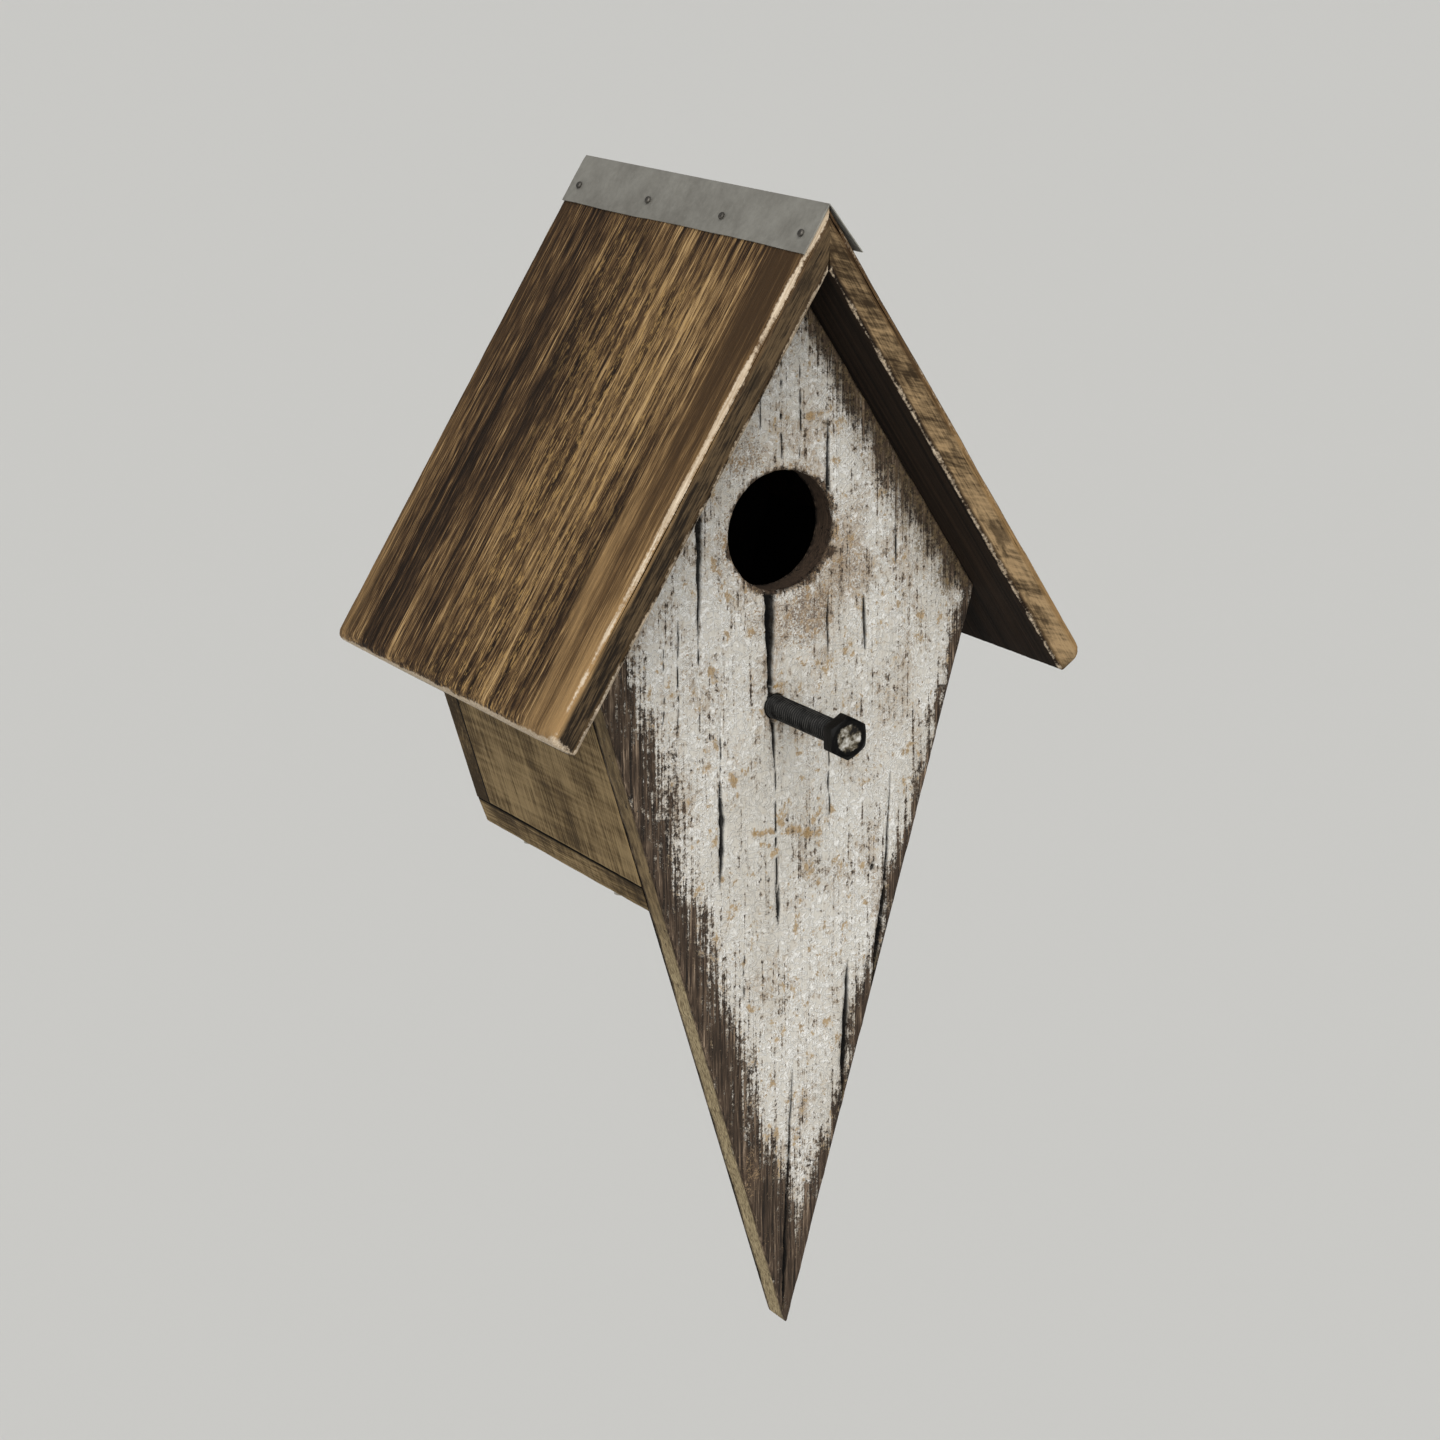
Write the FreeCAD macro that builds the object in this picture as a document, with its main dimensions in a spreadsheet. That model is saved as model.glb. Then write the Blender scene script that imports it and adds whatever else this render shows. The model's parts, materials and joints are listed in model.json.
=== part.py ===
import FreeCAD, Part
import os

import Sketcher

# A wall-hung wooden nest box: a kite-shaped front board under a steep two-board roof, a tapered
# box behind it, a bent sheet cap on the ridge and a hexagon bolt as the perch.
#
# Frame, in millimetres: +Z up, the front faces -Y, the wall is the plane Y = 0, and the origin is
# the centre of the keyhole hanger's entry hole. Heights in the sketches are counted from the
# roof's ridge line, and each piece's Placement lifts them by hanger_drop.

SIZES = [
    # name, value, what it is
    ("hanger_drop", 62.0, "ridge line down to the keyhole's entry hole"),
    ("roof_pitch", 57.1, "degrees from level"),
    ("roof_length", 188.0, "ridge to eave, down the slope"),
    ("roof_depth", 157.0, "wall to the roof's front edge"),
    ("roof_thickness", 11.0, "roof board thickness"),
    ("left_eave_round", 4.0, "radius of the left eave's outer edge"),
    ("right_eave_round", 8.0, "radius of the right eave's outer edge"),
    ("eave_arris", 2.0, "radius of both eaves' inner edges"),
    ("front_setback", 26.0, "roof's front edge back to the front board's face"),
    ("front_thickness", 12.0, "front board thickness"),
    ("front_half_width", 75.0, "half the front board's greatest width"),
    ("tip_drop", 391.0, "ridge line down to the front board's tip"),
    ("tip_round", 0.6, "radius of the front board's tip"),
    ("side_thickness", 10.0, "side board thickness"),
    ("back_thickness", 10.0, "back board thickness"),
    ("floor_thickness", 10.0, "floor board thickness"),
    ("floor_drop", 234.6, "ridge line down to the floor's underside"),
    ("entrance_radius", 20.0, "entrance hole radius"),
    ("entrance_shift", -1.4, "entrance hole's centre from the middle line"),
    ("entrance_drop", 108.0, "ridge line down to the entrance hole's centre"),
    ("perch_shift", -3.8, "perch bolt's axis from the middle line"),
    ("perch_drop", 166.7, "ridge line down to the perch bolt's axis"),
    ("perch_reach", 44.2, "front board's face out to the bolt head's end"),
    ("bolt_radius", 4.0, "M8 shank radius"),
    ("bolt_length", 60.0, "M8 shank length under the head"),
    ("bolt_flats", 13.0, "M8 head and nut across flats"),
    ("bolt_head_height", 5.3, "M8 head height"),
    ("bolt_tip_chamfer", 1.0, "chamfer on the shank's end"),
    ("nut_height", 6.5, "M8 nut height"),
    ("washer_radius", 8.0, "M8 washer outer radius"),
    ("washer_bore", 4.2, "M8 washer hole radius"),
    ("washer_thickness", 1.6, "M8 washer thickness"),
    ("cap_thickness", 0.6, "ridge cap sheet thickness"),
    ("cap_left", 17.5, "ridge cap's left flange, down the slope"),
    ("cap_right", 20.0, "ridge cap's right flange, down the slope"),
    ("cap_spring", 3.0, "degrees that the right flange springs off its board"),
    ("cap_bend", 0.9, "outer radius of the ridge cap's bend"),
    ("cap_nail_head", 1.3, "ridge cap nail's head radius"),
    ("cap_nail_dome", 0.8, "ridge cap nail's head height"),
    ("cap_nail_shank", 0.7, "ridge cap nail's shank radius"),
    ("cap_nail_length", 6.0, "ridge cap nail's shank length"),
    ("cap_nail_drop", 11.0, "ridge line down the slope to the cap nails"),
    ("cap_nail_inset", 6.5, "end cap nails from the roof's front and back edges"),
    ("brad_head", 1.0, "finishing brad's head radius"),
    ("brad_shank", 0.7, "finishing brad's shank radius"),
    ("brad_length", 25.0, "finishing brad length"),
    ("brad_head_height", 1.2, "finishing brad's head height"),
    ("brad_sunk", 1.0, "depth of the brad heads under the surface"),
    ("floor_brad_reach", 34.0, "floor brads from the middle line"),
    ("nail_head", 2.0, "back board nail's head radius"),
    ("nail_head_height", 0.8, "back board nail's head height"),
    ("nail_shank", 0.9, "back board nail's shank radius"),
    ("floor_screw_reach", 43.0, "floor screws from the middle line"),
    ("floor_screw_head", 2.6, "floor screw's head radius"),
    ("floor_screw_head_height", 1.8, "floor screw's head height"),
    ("floor_screw_shank", 1.5, "floor screw's shank radius"),
    ("floor_screw_length", 17.0, "floor screw length"),
    ("hanger_half_width", 8.0, "keyhole hanger plate's half width and end radius"),
    ("hanger_thickness", 1.5, "keyhole hanger plate thickness"),
    ("hanger_low", 11.0, "entry hole down to the plate's lower end centre"),
    ("hanger_high", 17.0, "entry hole up to the plate's upper end centre"),
    ("keyhole_radius", 4.5, "keyhole's entry hole radius"),
    ("keyhole_slot", 2.3, "keyhole's slot half width"),
    ("keyhole_travel", 8.0, "entry hole up to the slot's end centre"),
    ("head_room_radius", 5.5, "half width of the screw head's pocket"),
    ("head_room_depth", 7.0, "depth of the screw head's pocket from the wall"),
    ("hanger_screw_head", 2.8, "hanger screw's head radius"),
    ("hanger_screw_shank", 1.3, "hanger screw's shank radius"),
    ("hanger_screw_length", 8.5, "hanger screw length"),
]

# Shorthand for the expressions, all made of the sheet's values.
PITCH = "(Sizes.roof_pitch * 1 deg)"
LIFT = "Sizes.hanger_drop"
FRONT_FACE = "(Sizes.roof_depth - Sizes.front_setback)"
FRONT_REAR = f"({FRONT_FACE} - Sizes.front_thickness)"
UNDER_APEX = f"(Sizes.roof_thickness / cos({PITCH}))"
CORNER_DROP = f"({UNDER_APEX} + Sizes.front_half_width * tan({PITCH}))"
TAPER = f"(Sizes.front_half_width / (Sizes.tip_drop - {CORNER_DROP}))"
SIDE_WIDTH = f"(Sizes.side_thickness * sqrt(1 + {TAPER} * {TAPER}))"
FLOOR_TOP_DROP = "(Sizes.floor_drop - Sizes.floor_thickness)"

doc = FreeCAD.newDocument("Birdhouse")


def make_sheet():
    """Fills the spreadsheet of driving dimensions: alias, value and what each one is."""
    sheet = doc.addObject("Spreadsheet::Sheet", "Sizes")
    for row, (name, number, meaning) in enumerate(SIZES, start=1):
        sheet.set(f"A{row}", name)
        sheet.set(f"B{row}", str(number))
        sheet.set(f"C{row}", meaning)
        sheet.setAlias(f"B{row}", name)
    doc.recompute()
    return sheet


sizes = make_sheet()


def value(expression):
    """An expression's present value, as a plain number."""
    result = sizes.evalExpression(expression.replace("Sizes.", ""))
    return float(getattr(result, "Value", result))


def half_width(drop):
    """Half the kite's width at a drop below its side corners."""
    return f"((Sizes.tip_drop - {drop}) * {TAPER})"


# ---------------------------------------------------------------- sketch and feature helpers


def new_body(label, lift=LIFT):
    """An empty body, lifted so that drops from the ridge become heights in the part's frame."""
    body = doc.addObject("PartDesign::Body", label)
    body.setExpression(".Placement.Base.z", lift)
    return body


def origin_feature(body, role):
    """One of the body's own origin planes or axes."""
    return next(item for item in body.Origin.OriginFeatures if item.Role == role)


def new_sketch(body, name, plane="XZ_Plane", offset="0"):
    """A sketch on one of the body's planes, moved along the plane's normal."""
    sketch = body.newObject("Sketcher::SketchObject", f"{body.Name}_{name}")
    sketch.AttachmentSupport = (origin_feature(body, plane), [""])
    sketch.MapMode = "FlatFace"
    sketch.setExpression(".AttachmentOffset.Base.z", offset)
    return sketch


def constrain(sketch, kind, *places, expression):
    """Adds a dimension that follows an expression."""
    number = sketch.addConstraint(Sketcher.Constraint(kind, *places, value(expression)))
    sketch.setExpression(f"Constraints[{number}]", expression)


def pin_point(sketch, geometry, point, x, y):
    """Holds a point of the sketch at x and y, both expressions."""
    constrain(sketch, "DistanceX", -1, 1, geometry, point, expression=x)
    constrain(sketch, "DistanceY", -1, 1, geometry, point, expression=y)


def draw_polygon(sketch, corners):
    """A closed polygon through corners given as pairs of expressions."""
    points = [FreeCAD.Vector(value(x), value(y), 0) for x, y in corners]
    first = sketch.GeometryCount
    count = len(points)
    for index in range(count):
        sketch.addGeometry(Part.LineSegment(points[index], points[(index + 1) % count]))
    for index, (x, y) in enumerate(corners):
        before = first + (index - 1) % count
        sketch.addConstraint(Sketcher.Constraint("Coincident", before, 2, first + index, 1))
        pin_point(sketch, first + index, 1, x, y)


def draw_circle(sketch, x, y, radius):
    """A circle whose centre and radius are expressions."""
    centre = FreeCAD.Vector(value(x), value(y), 0)
    circle = sketch.addGeometry(Part.Circle(centre, FreeCAD.Vector(0, 0, 1), value(radius)))
    pin_point(sketch, circle, 3, x, y)
    constrain(sketch, "Radius", circle, expression=radius)


def draw_slot(sketch, low, high, radius):
    """An upright slot with round ends, centred at heights low and high on the middle line."""
    r, bottom, top = value(radius), value(low), value(high)
    up = FreeCAD.Vector(0, 0, 1)
    lower = Part.Circle(FreeCAD.Vector(0, bottom, 0), up, r)
    upper = Part.Circle(FreeCAD.Vector(0, top, 0), up, r)
    pi = value("pi")
    arcs = [
        sketch.addGeometry(Part.ArcOfCircle(lower, pi, 2 * pi)),
        sketch.addGeometry(Part.ArcOfCircle(upper, 0, pi)),
    ]
    right = sketch.addGeometry(
        Part.LineSegment(FreeCAD.Vector(r, bottom, 0), FreeCAD.Vector(r, top, 0))
    )
    left = sketch.addGeometry(
        Part.LineSegment(FreeCAD.Vector(-r, top, 0), FreeCAD.Vector(-r, bottom, 0))
    )
    sketch.addConstraint(Sketcher.Constraint("Tangent", arcs[0], 2, right, 1))
    sketch.addConstraint(Sketcher.Constraint("Tangent", right, 2, arcs[1], 1))
    sketch.addConstraint(Sketcher.Constraint("Tangent", arcs[1], 2, left, 1))
    sketch.addConstraint(Sketcher.Constraint("Tangent", left, 2, arcs[0], 1))
    pin_point(sketch, arcs[0], 3, "0", low)
    pin_point(sketch, arcs[1], 3, "0", high)
    constrain(sketch, "Radius", arcs[0], expression=radius)


def draw_hexagon(sketch, flats):
    """A hexagon about the sketch's origin with a corner at its top and bottom."""
    reach = f"{flats} / sqrt(3)"
    angles = [f"({60 * side} * 1 deg)" for side in range(6)]
    draw_polygon(sketch, [(f"{reach} * sin{a}", f"{reach} * cos{a}") for a in angles])


def pad(body, sketch, length, backwards=False):
    """Pads a sketch along its plane's normal, or against it."""
    feature = body.newObject("PartDesign::Pad", f"{sketch.Name}_pad")
    feature.Profile = sketch
    feature.Reversed = backwards
    feature.setExpression("Length", length)
    body.Tip = feature
    doc.recompute()
    return feature


def pocket(body, sketch, depth):
    """Cuts a sketch into the body along its plane's normal, and checks that it cuts."""
    before = body.Shape.Volume
    feature = body.newObject("PartDesign::Pocket", f"{sketch.Name}_pocket")
    feature.Profile = sketch
    feature.Reversed = True
    feature.setExpression("Length", depth)
    body.Tip = feature
    doc.recompute()
    if body.Shape.Volume >= before:
        raise RuntimeError(f"{feature.Name} cut nothing")
    return feature


def edges_along_y(feature, x, z):
    """Names of the feature's edges that run along Y through x and z, both expressions."""
    line = FreeCAD.Vector(value(x), 0, value(z))
    names = []
    for number, edge in enumerate(feature.Shape.Edges, start=1):
        ends = [FreeCAD.Vector(v.X, 0, v.Z) for v in edge.Vertexes]
        if len(ends) == 2 and all(end.distanceToPoint(line) < 0.01 for end in ends):
            names.append(f"Edge{number}")
    return names


def fillet(body, x, z, radius):
    """Rounds the body's long edge that runs along Y through x and z."""
    base = body.Tip
    names = edges_along_y(base, x, z)
    feature = body.newObject("PartDesign::Fillet", f"{body.Name}_fillet")
    feature.Base = (base, names)
    feature.setExpression("Radius", radius)
    body.Tip = feature
    doc.recompute()
    return feature


def drilled(label, blank, fasteners):
    """The blank with a hole for each fastener that is driven into it."""
    tools = doc.addObject("Part::Compound", f"{label}_holes")
    tools.Links = fasteners
    board = doc.addObject("Part::Cut", label)
    board.Base = blank
    board.Tool = tools
    doc.recompute()
    if board.Shape.Volume >= blank.Shape.Volume:
        raise RuntimeError(f"{label} has no holes")
    return board


# ---------------------------------------------------------------- boards


def front_board_blank():
    """Kite-shaped front board: upper edges along the roof's underside, lower edges to the tip."""
    body = new_body("front_board_blank")
    outline = new_sketch(body, "outline", offset=FRONT_REAR)
    half = "Sizes.front_half_width"
    draw_polygon(
        outline,
        [
            ("0", f"-{UNDER_APEX}"),
            (half, f"-{CORNER_DROP}"),
            ("0", "-Sizes.tip_drop"),
            (f"-{half}", f"-{CORNER_DROP}"),
        ],
    )
    pad(body, outline, "Sizes.front_thickness")
    fillet(body, "0", "-Sizes.tip_drop", "Sizes.tip_round")
    entrance = new_sketch(body, "entrance", offset=FRONT_REAR)
    draw_circle(entrance, "Sizes.entrance_shift", "-Sizes.entrance_drop", "Sizes.entrance_radius")
    pocket(body, entrance, "Sizes.front_thickness")
    perch_hole = new_sketch(body, "perch_hole", offset=FRONT_REAR)
    draw_circle(perch_hole, "Sizes.perch_shift", "-Sizes.perch_drop", "Sizes.bolt_radius")
    pocket(body, perch_hole, "Sizes.front_thickness")
    return body


def back_board_blank():
    """Back board: the roof's gable above, tapering to the floor, let in for the hanger."""
    body = new_body("back_board_blank")
    outline = new_sketch(body, "outline")
    half = "Sizes.front_half_width"
    foot = half_width(FLOOR_TOP_DROP)
    draw_polygon(
        outline,
        [
            ("0", f"-{UNDER_APEX}"),
            (half, f"-{CORNER_DROP}"),
            (foot, f"-{FLOOR_TOP_DROP}"),
            (f"-{foot}", f"-{FLOOR_TOP_DROP}"),
            (f"-{half}", f"-{CORNER_DROP}"),
        ],
    )
    pad(body, outline, "Sizes.back_thickness")
    recess = new_sketch(body, "plate_recess")
    draw_slot(
        recess,
        "-Sizes.hanger_drop - Sizes.hanger_low",
        "-Sizes.hanger_drop + Sizes.hanger_high",
        "Sizes.hanger_half_width",
    )
    pocket(body, recess, "Sizes.hanger_thickness")
    head_room = new_sketch(body, "head_room")
    draw_slot(
        head_room,
        "-Sizes.hanger_drop",
        "-Sizes.hanger_drop + Sizes.keyhole_travel",
        "Sizes.head_room_radius",
    )
    pocket(body, head_room, "Sizes.head_room_depth")
    return body


def side_board_blank(name, side):
    """Side board between the front and back boards: outer face flush with the kite's lower edge."""
    body = new_body(f"{name}_side_board_blank")
    outline = new_sketch(body, "outline", offset="Sizes.back_thickness")
    inner_top_drop = (
        f"(({UNDER_APEX} / tan({PITCH}) + Sizes.tip_drop * {TAPER} - {SIDE_WIDTH})"
        f" / ({TAPER} + 1 / tan({PITCH})))"
    )
    draw_polygon(
        outline,
        [
            (f"{side} * Sizes.front_half_width", f"-{CORNER_DROP}"),
            (f"{side} * {half_width(FLOOR_TOP_DROP)}", f"-{FLOOR_TOP_DROP}"),
            (f"{side} * ({half_width(FLOOR_TOP_DROP)} - {SIDE_WIDTH})", f"-{FLOOR_TOP_DROP}"),
            (f"{side} * ({half_width(inner_top_drop)} - {SIDE_WIDTH})", f"-{inner_top_drop}"),
        ],
    )
    pad(body, outline, f"{FRONT_REAR} - Sizes.back_thickness")
    return body


def floor_board_blank():
    """Floor board under the side and back boards, its ends bevelled flush with the sides."""
    body = new_body("floor_board_blank")
    outline = new_sketch(body, "outline")
    top = half_width(FLOOR_TOP_DROP)
    bottom = half_width("Sizes.floor_drop")
    draw_polygon(
        outline,
        [
            (top, f"-{FLOOR_TOP_DROP}"),
            (bottom, "-Sizes.floor_drop"),
            (f"-{bottom}", "-Sizes.floor_drop"),
            (f"-{top}", f"-{FLOOR_TOP_DROP}"),
        ],
    )
    pad(body, outline, FRONT_REAR)
    return body


def roof_board_blank(name, side):
    """Roof board mitred at the ridge, cut square at the eave, with the eave's edges rounded."""
    body = new_body(f"{name}_roof_board_blank")
    outline = new_sketch(body, "outline")
    eave_x = f"{side} * Sizes.roof_length * cos({PITCH})"
    eave_z = f"-Sizes.roof_length * sin({PITCH})"
    inner_x = f"{eave_x} - {side} * Sizes.roof_thickness * sin({PITCH})"
    inner_z = f"{eave_z} - Sizes.roof_thickness * cos({PITCH})"
    draw_polygon(
        outline,
        [("0", "0"), (eave_x, eave_z), (inner_x, inner_z), ("0", f"-{UNDER_APEX}")],
    )
    pad(body, outline, "Sizes.roof_depth")
    fillet(body, eave_x, eave_z, f"Sizes.{name}_eave_round")
    fillet(body, inner_x, inner_z, "Sizes.eave_arris")
    return body


# ---------------------------------------------------------------- ridge cap


def ridge_cap_blank():
    """Sheet cap bent over the ridge: left flange flat on its board, right flange sprung off."""
    body = new_body("ridge_cap_blank")
    outline = new_sketch(body, "outline")
    left = PITCH
    right = "((Sizes.roof_pitch - Sizes.cap_spring) * 1 deg)"
    sheet = "Sizes.cap_thickness"
    both = f"sin({left} + {right})"
    top_x = f"({sheet} * (cos({right}) - cos({left})) / {both})"
    top_z = f"({sheet} * (sin({right}) + sin({left})) / {both})"
    left_end = (f"(-Sizes.cap_left * cos({left}))", f"(-Sizes.cap_left * sin({left}))")
    right_end = (f"(Sizes.cap_right * cos({right}))", f"(-Sizes.cap_right * sin({right}))")
    draw_polygon(
        outline,
        [
            ("0", "0"),
            left_end,
            (f"{left_end[0]} - {sheet} * sin({left})", f"{left_end[1]} + {sheet} * cos({left})"),
            (top_x, top_z),
            (f"{right_end[0]} + {sheet} * sin({right})", f"{right_end[1]} + {sheet} * cos({right})"),
            right_end,
        ],
    )
    pad(body, outline, "Sizes.roof_depth")
    fillet(body, top_x, top_z, "Sizes.cap_bend")
    return body


# ---------------------------------------------------------------- perch


def perch_body(label):
    """An empty body on the perch bolt's axis, its XZ plane in the front board's face."""
    body = new_body(label, lift=f"{LIFT} - Sizes.perch_drop")
    body.setExpression(".Placement.Base.x", "Sizes.perch_shift")
    body.setExpression(".Placement.Base.y", f"-{FRONT_FACE}")
    return body


def perch_bolt():
    """Hexagon-head bolt, head outwards, its outer corners chamfered at 30 degrees."""
    body = perch_body("perch_bolt")
    head = new_sketch(body, "head", offset="Sizes.perch_reach - Sizes.bolt_head_height")
    draw_hexagon(head, "Sizes.bolt_flats")
    pad(body, head, "Sizes.bolt_head_height")
    bevel = new_sketch(body, "bevel", plane="YZ_Plane")
    washer_face = "(Sizes.bolt_flats * 0.475)"
    beyond = "(Sizes.bolt_flats * 0.65)"
    draw_polygon(
        bevel,
        [
            ("-Sizes.perch_reach", washer_face),
            ("-Sizes.perch_reach", beyond),
            (f"-Sizes.perch_reach + ({beyond} - {washer_face}) * tan(30 deg)", beyond),
        ],
    )
    groove = body.newObject("PartDesign::Groove", "perch_bolt_bevel_cut")
    groove.Profile = bevel
    groove.ReferenceAxis = (origin_feature(body, "Y_Axis"), [""])
    groove.Angle = 360
    body.Tip = groove
    shank = new_sketch(body, "shank", offset="Sizes.perch_reach - Sizes.bolt_head_height")
    draw_circle(shank, "0", "0", "Sizes.bolt_radius")
    shank_pad = pad(body, shank, "Sizes.bolt_length", backwards=True)
    end = value("Sizes.bolt_length + Sizes.bolt_head_height - Sizes.perch_reach")
    rims = [
        f"Edge{number}"
        for number, edge in enumerate(shank_pad.Shape.Edges, start=1)
        if all(abs(vertex.Y - end) < 0.01 for vertex in edge.Vertexes)
    ]
    chamfer = body.newObject("PartDesign::Chamfer", "perch_bolt_tip")
    chamfer.Base = (shank_pad, rims)
    chamfer.setExpression("Size", "Sizes.bolt_tip_chamfer")
    body.Tip = chamfer
    return body


def perch_washer():
    """Washer on the inside of the front board."""
    body = perch_body("perch_washer")
    ring = new_sketch(body, "ring", offset="-Sizes.front_thickness")
    draw_circle(ring, "0", "0", "Sizes.washer_radius")
    draw_circle(ring, "0", "0", "Sizes.washer_bore")
    pad(body, ring, "Sizes.washer_thickness", backwards=True)
    return body


def perch_nut():
    """Nut that draws the bolt tight against the washer."""
    body = perch_body("perch_nut")
    section = new_sketch(body, "section", offset="-Sizes.front_thickness - Sizes.washer_thickness")
    draw_hexagon(section, "Sizes.bolt_flats")
    draw_circle(section, "0", "0", "Sizes.bolt_radius")
    pad(body, section, "Sizes.nut_height", backwards=True)
    return body


# ---------------------------------------------------------------- hanger


def keyhole_hanger_blank():
    """Round-ended keyhole plate let into the back board, flush with the wall plane."""
    body = new_body("keyhole_hanger_blank", lift="0")
    outline = new_sketch(body, "outline")
    draw_slot(outline, "-Sizes.hanger_low", "Sizes.hanger_high", "Sizes.hanger_half_width")
    pad(body, outline, "Sizes.hanger_thickness")
    entry = new_sketch(body, "entry")
    draw_circle(entry, "0", "0", "Sizes.keyhole_radius")
    pocket(body, entry, "Sizes.hanger_thickness")
    slot = new_sketch(body, "slot")
    draw_slot(slot, "0", "Sizes.keyhole_travel", "Sizes.keyhole_slot")
    pocket(body, slot, "Sizes.hanger_thickness")
    return body


# ---------------------------------------------------------------- fasteners


def fasteners(body, plane, offset, places, style, inwards):
    """Identical nails or screws at places: a head padded inwards, then the shank under it.

    style is the fastener's head radius, head height, shank radius and length; inwards is True
    where the fasteners run along the plane's normal and False where they run against it."""
    head_radius, head_height, shank_radius, length = style
    for name, radius, depth in (
        ("heads", head_radius, head_height),
        ("shanks", shank_radius, length),
    ):
        sketch = new_sketch(body, name, plane=plane, offset=offset)
        for x, y in places:
            draw_circle(sketch, x, y, radius)
        pad(body, sketch, depth, backwards=not inwards)
    return body


BRAD = ("Sizes.brad_head", "Sizes.brad_head_height", "Sizes.brad_shank", "Sizes.brad_length")
NAIL = ("Sizes.nail_head", "Sizes.nail_head_height", "Sizes.nail_shank", "Sizes.brad_length")
FLOOR_SCREW = (
    "Sizes.floor_screw_head",
    "Sizes.floor_screw_head_height",
    "Sizes.floor_screw_shank",
    "Sizes.floor_screw_length",
)
HANGER_SCREW = (
    "Sizes.hanger_screw_head",
    "Sizes.hanger_thickness",
    "Sizes.hanger_screw_shank",
    "Sizes.hanger_screw_length",
)


def side_board_places(shares):
    """Both side boards' middles at shares of the way from the kite's corners to the floor."""
    places = []
    for side in (-1, 1):
        for share in shares:
            drop = f"({CORNER_DROP} + {share} * ({FLOOR_TOP_DROP} - {CORNER_DROP}))"
            places.append((f"{side} * ({half_width(drop)} - {SIDE_WIDTH} / 2)", f"-{drop}"))
    return places


def front_board_brads():
    """Brads through the front board into the side boards' and the floor's front ends."""
    floor_middle = "-(Sizes.floor_drop - Sizes.floor_thickness / 2)"
    places = side_board_places((0.25, 0.55, 0.85))
    places += [(f"{side} * Sizes.floor_brad_reach", floor_middle) for side in (-1, 1)]
    body = new_body("front_board_brads")
    return fasteners(body, "XZ_Plane", f"{FRONT_FACE} - Sizes.brad_sunk", places, BRAD, False)


def back_board_nails():
    """Flat-head nails through the back board into the side boards' back ends."""
    body = new_body("back_board_nails")
    return fasteners(body, "XZ_Plane", "0", side_board_places((0.25, 0.55, 0.85)), NAIL, True)


def floor_screws():
    """Four screws up through the floor into the side boards, undone to empty the box."""
    places = []
    for side in (-1, 1):
        for share in (0.25, 0.8):
            places.append((f"{side} * Sizes.floor_screw_reach", f"-{share} * {FRONT_REAR}"))
    body = new_body("floor_screws")
    return fasteners(body, "XY_Plane", "-Sizes.floor_drop", places, FLOOR_SCREW, True)


def hanger_screws():
    """Two screws that hold the keyhole plate in its recess."""
    places = [("0", "-Sizes.hanger_low"), ("0", "Sizes.hanger_high")]
    body = new_body("hanger_screws", lift="0")
    return fasteners(body, "XZ_Plane", "0", places, HANGER_SCREW, True)


def on_roof(label, side):
    """An empty body whose XY plane is a roof board's outer face, X along the slope."""
    body = new_body(label)
    body.Placement.Rotation = FreeCAD.Rotation(FreeCAD.Vector(0, side, 0), value("Sizes.roof_pitch"))
    body.setExpression(".Placement.Rotation.Angle", "Sizes.roof_pitch")
    return body


def roof_brads(name, side):
    """Brads through a roof board into the upper edges of the front and back boards."""
    middles = (f"-({FRONT_REAR} + Sizes.front_thickness / 2)", "-Sizes.back_thickness / 2")
    places = []
    for share in (0.32, 0.66):
        for middle in middles:
            places.append((f"{side} * {share} * Sizes.roof_length", middle))
    body = on_roof(f"{name}_roof_brads", side)
    return fasteners(body, "XY_Plane", "-Sizes.brad_sunk", places, BRAD, False)


def ridge_cap_nails(name, side):
    """Round-head nails through one flange of the ridge cap, in a row along the ridge."""
    body = on_roof(f"ridge_cap_nails_{name}", side)
    row_length = "(Sizes.roof_depth - 2 * Sizes.cap_nail_inset)"
    places = [
        (f"{side} * Sizes.cap_nail_drop", f"-(Sizes.cap_nail_inset + {step} / 3 * {row_length})")
        for step in range(4)
    ]
    spring = "0" if side < 0 else "Sizes.cap_nail_drop * tan(Sizes.cap_spring * 1 deg)"
    surface = f"Sizes.cap_thickness + {spring}"
    heads = new_sketch(body, "heads", plane="XY_Plane", offset=surface)
    shanks = new_sketch(body, "shanks", plane="XY_Plane", offset=surface)
    for x, y in places:
        draw_circle(heads, x, y, "Sizes.cap_nail_head")
        draw_circle(shanks, x, y, "Sizes.cap_nail_shank")
    head_pad = pad(body, heads, "Sizes.cap_nail_dome")
    top = value(f"{surface} + Sizes.cap_nail_dome")
    rims = [
        f"Edge{number}"
        for number, edge in enumerate(head_pad.Shape.Edges, start=1)
        if all(abs(vertex.Z - top) < 0.01 for vertex in edge.Vertexes)
    ]
    dome = body.newObject("PartDesign::Fillet", f"{body.Name}_dome")
    dome.Base = (head_pad, rims)
    dome.setExpression("Radius", "Sizes.cap_nail_dome * 0.9")
    body.Tip = dome
    pad(body, shanks, "Sizes.cap_nail_length", backwards=True)
    return body


# ---------------------------------------------------------------- assembly and export


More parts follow.
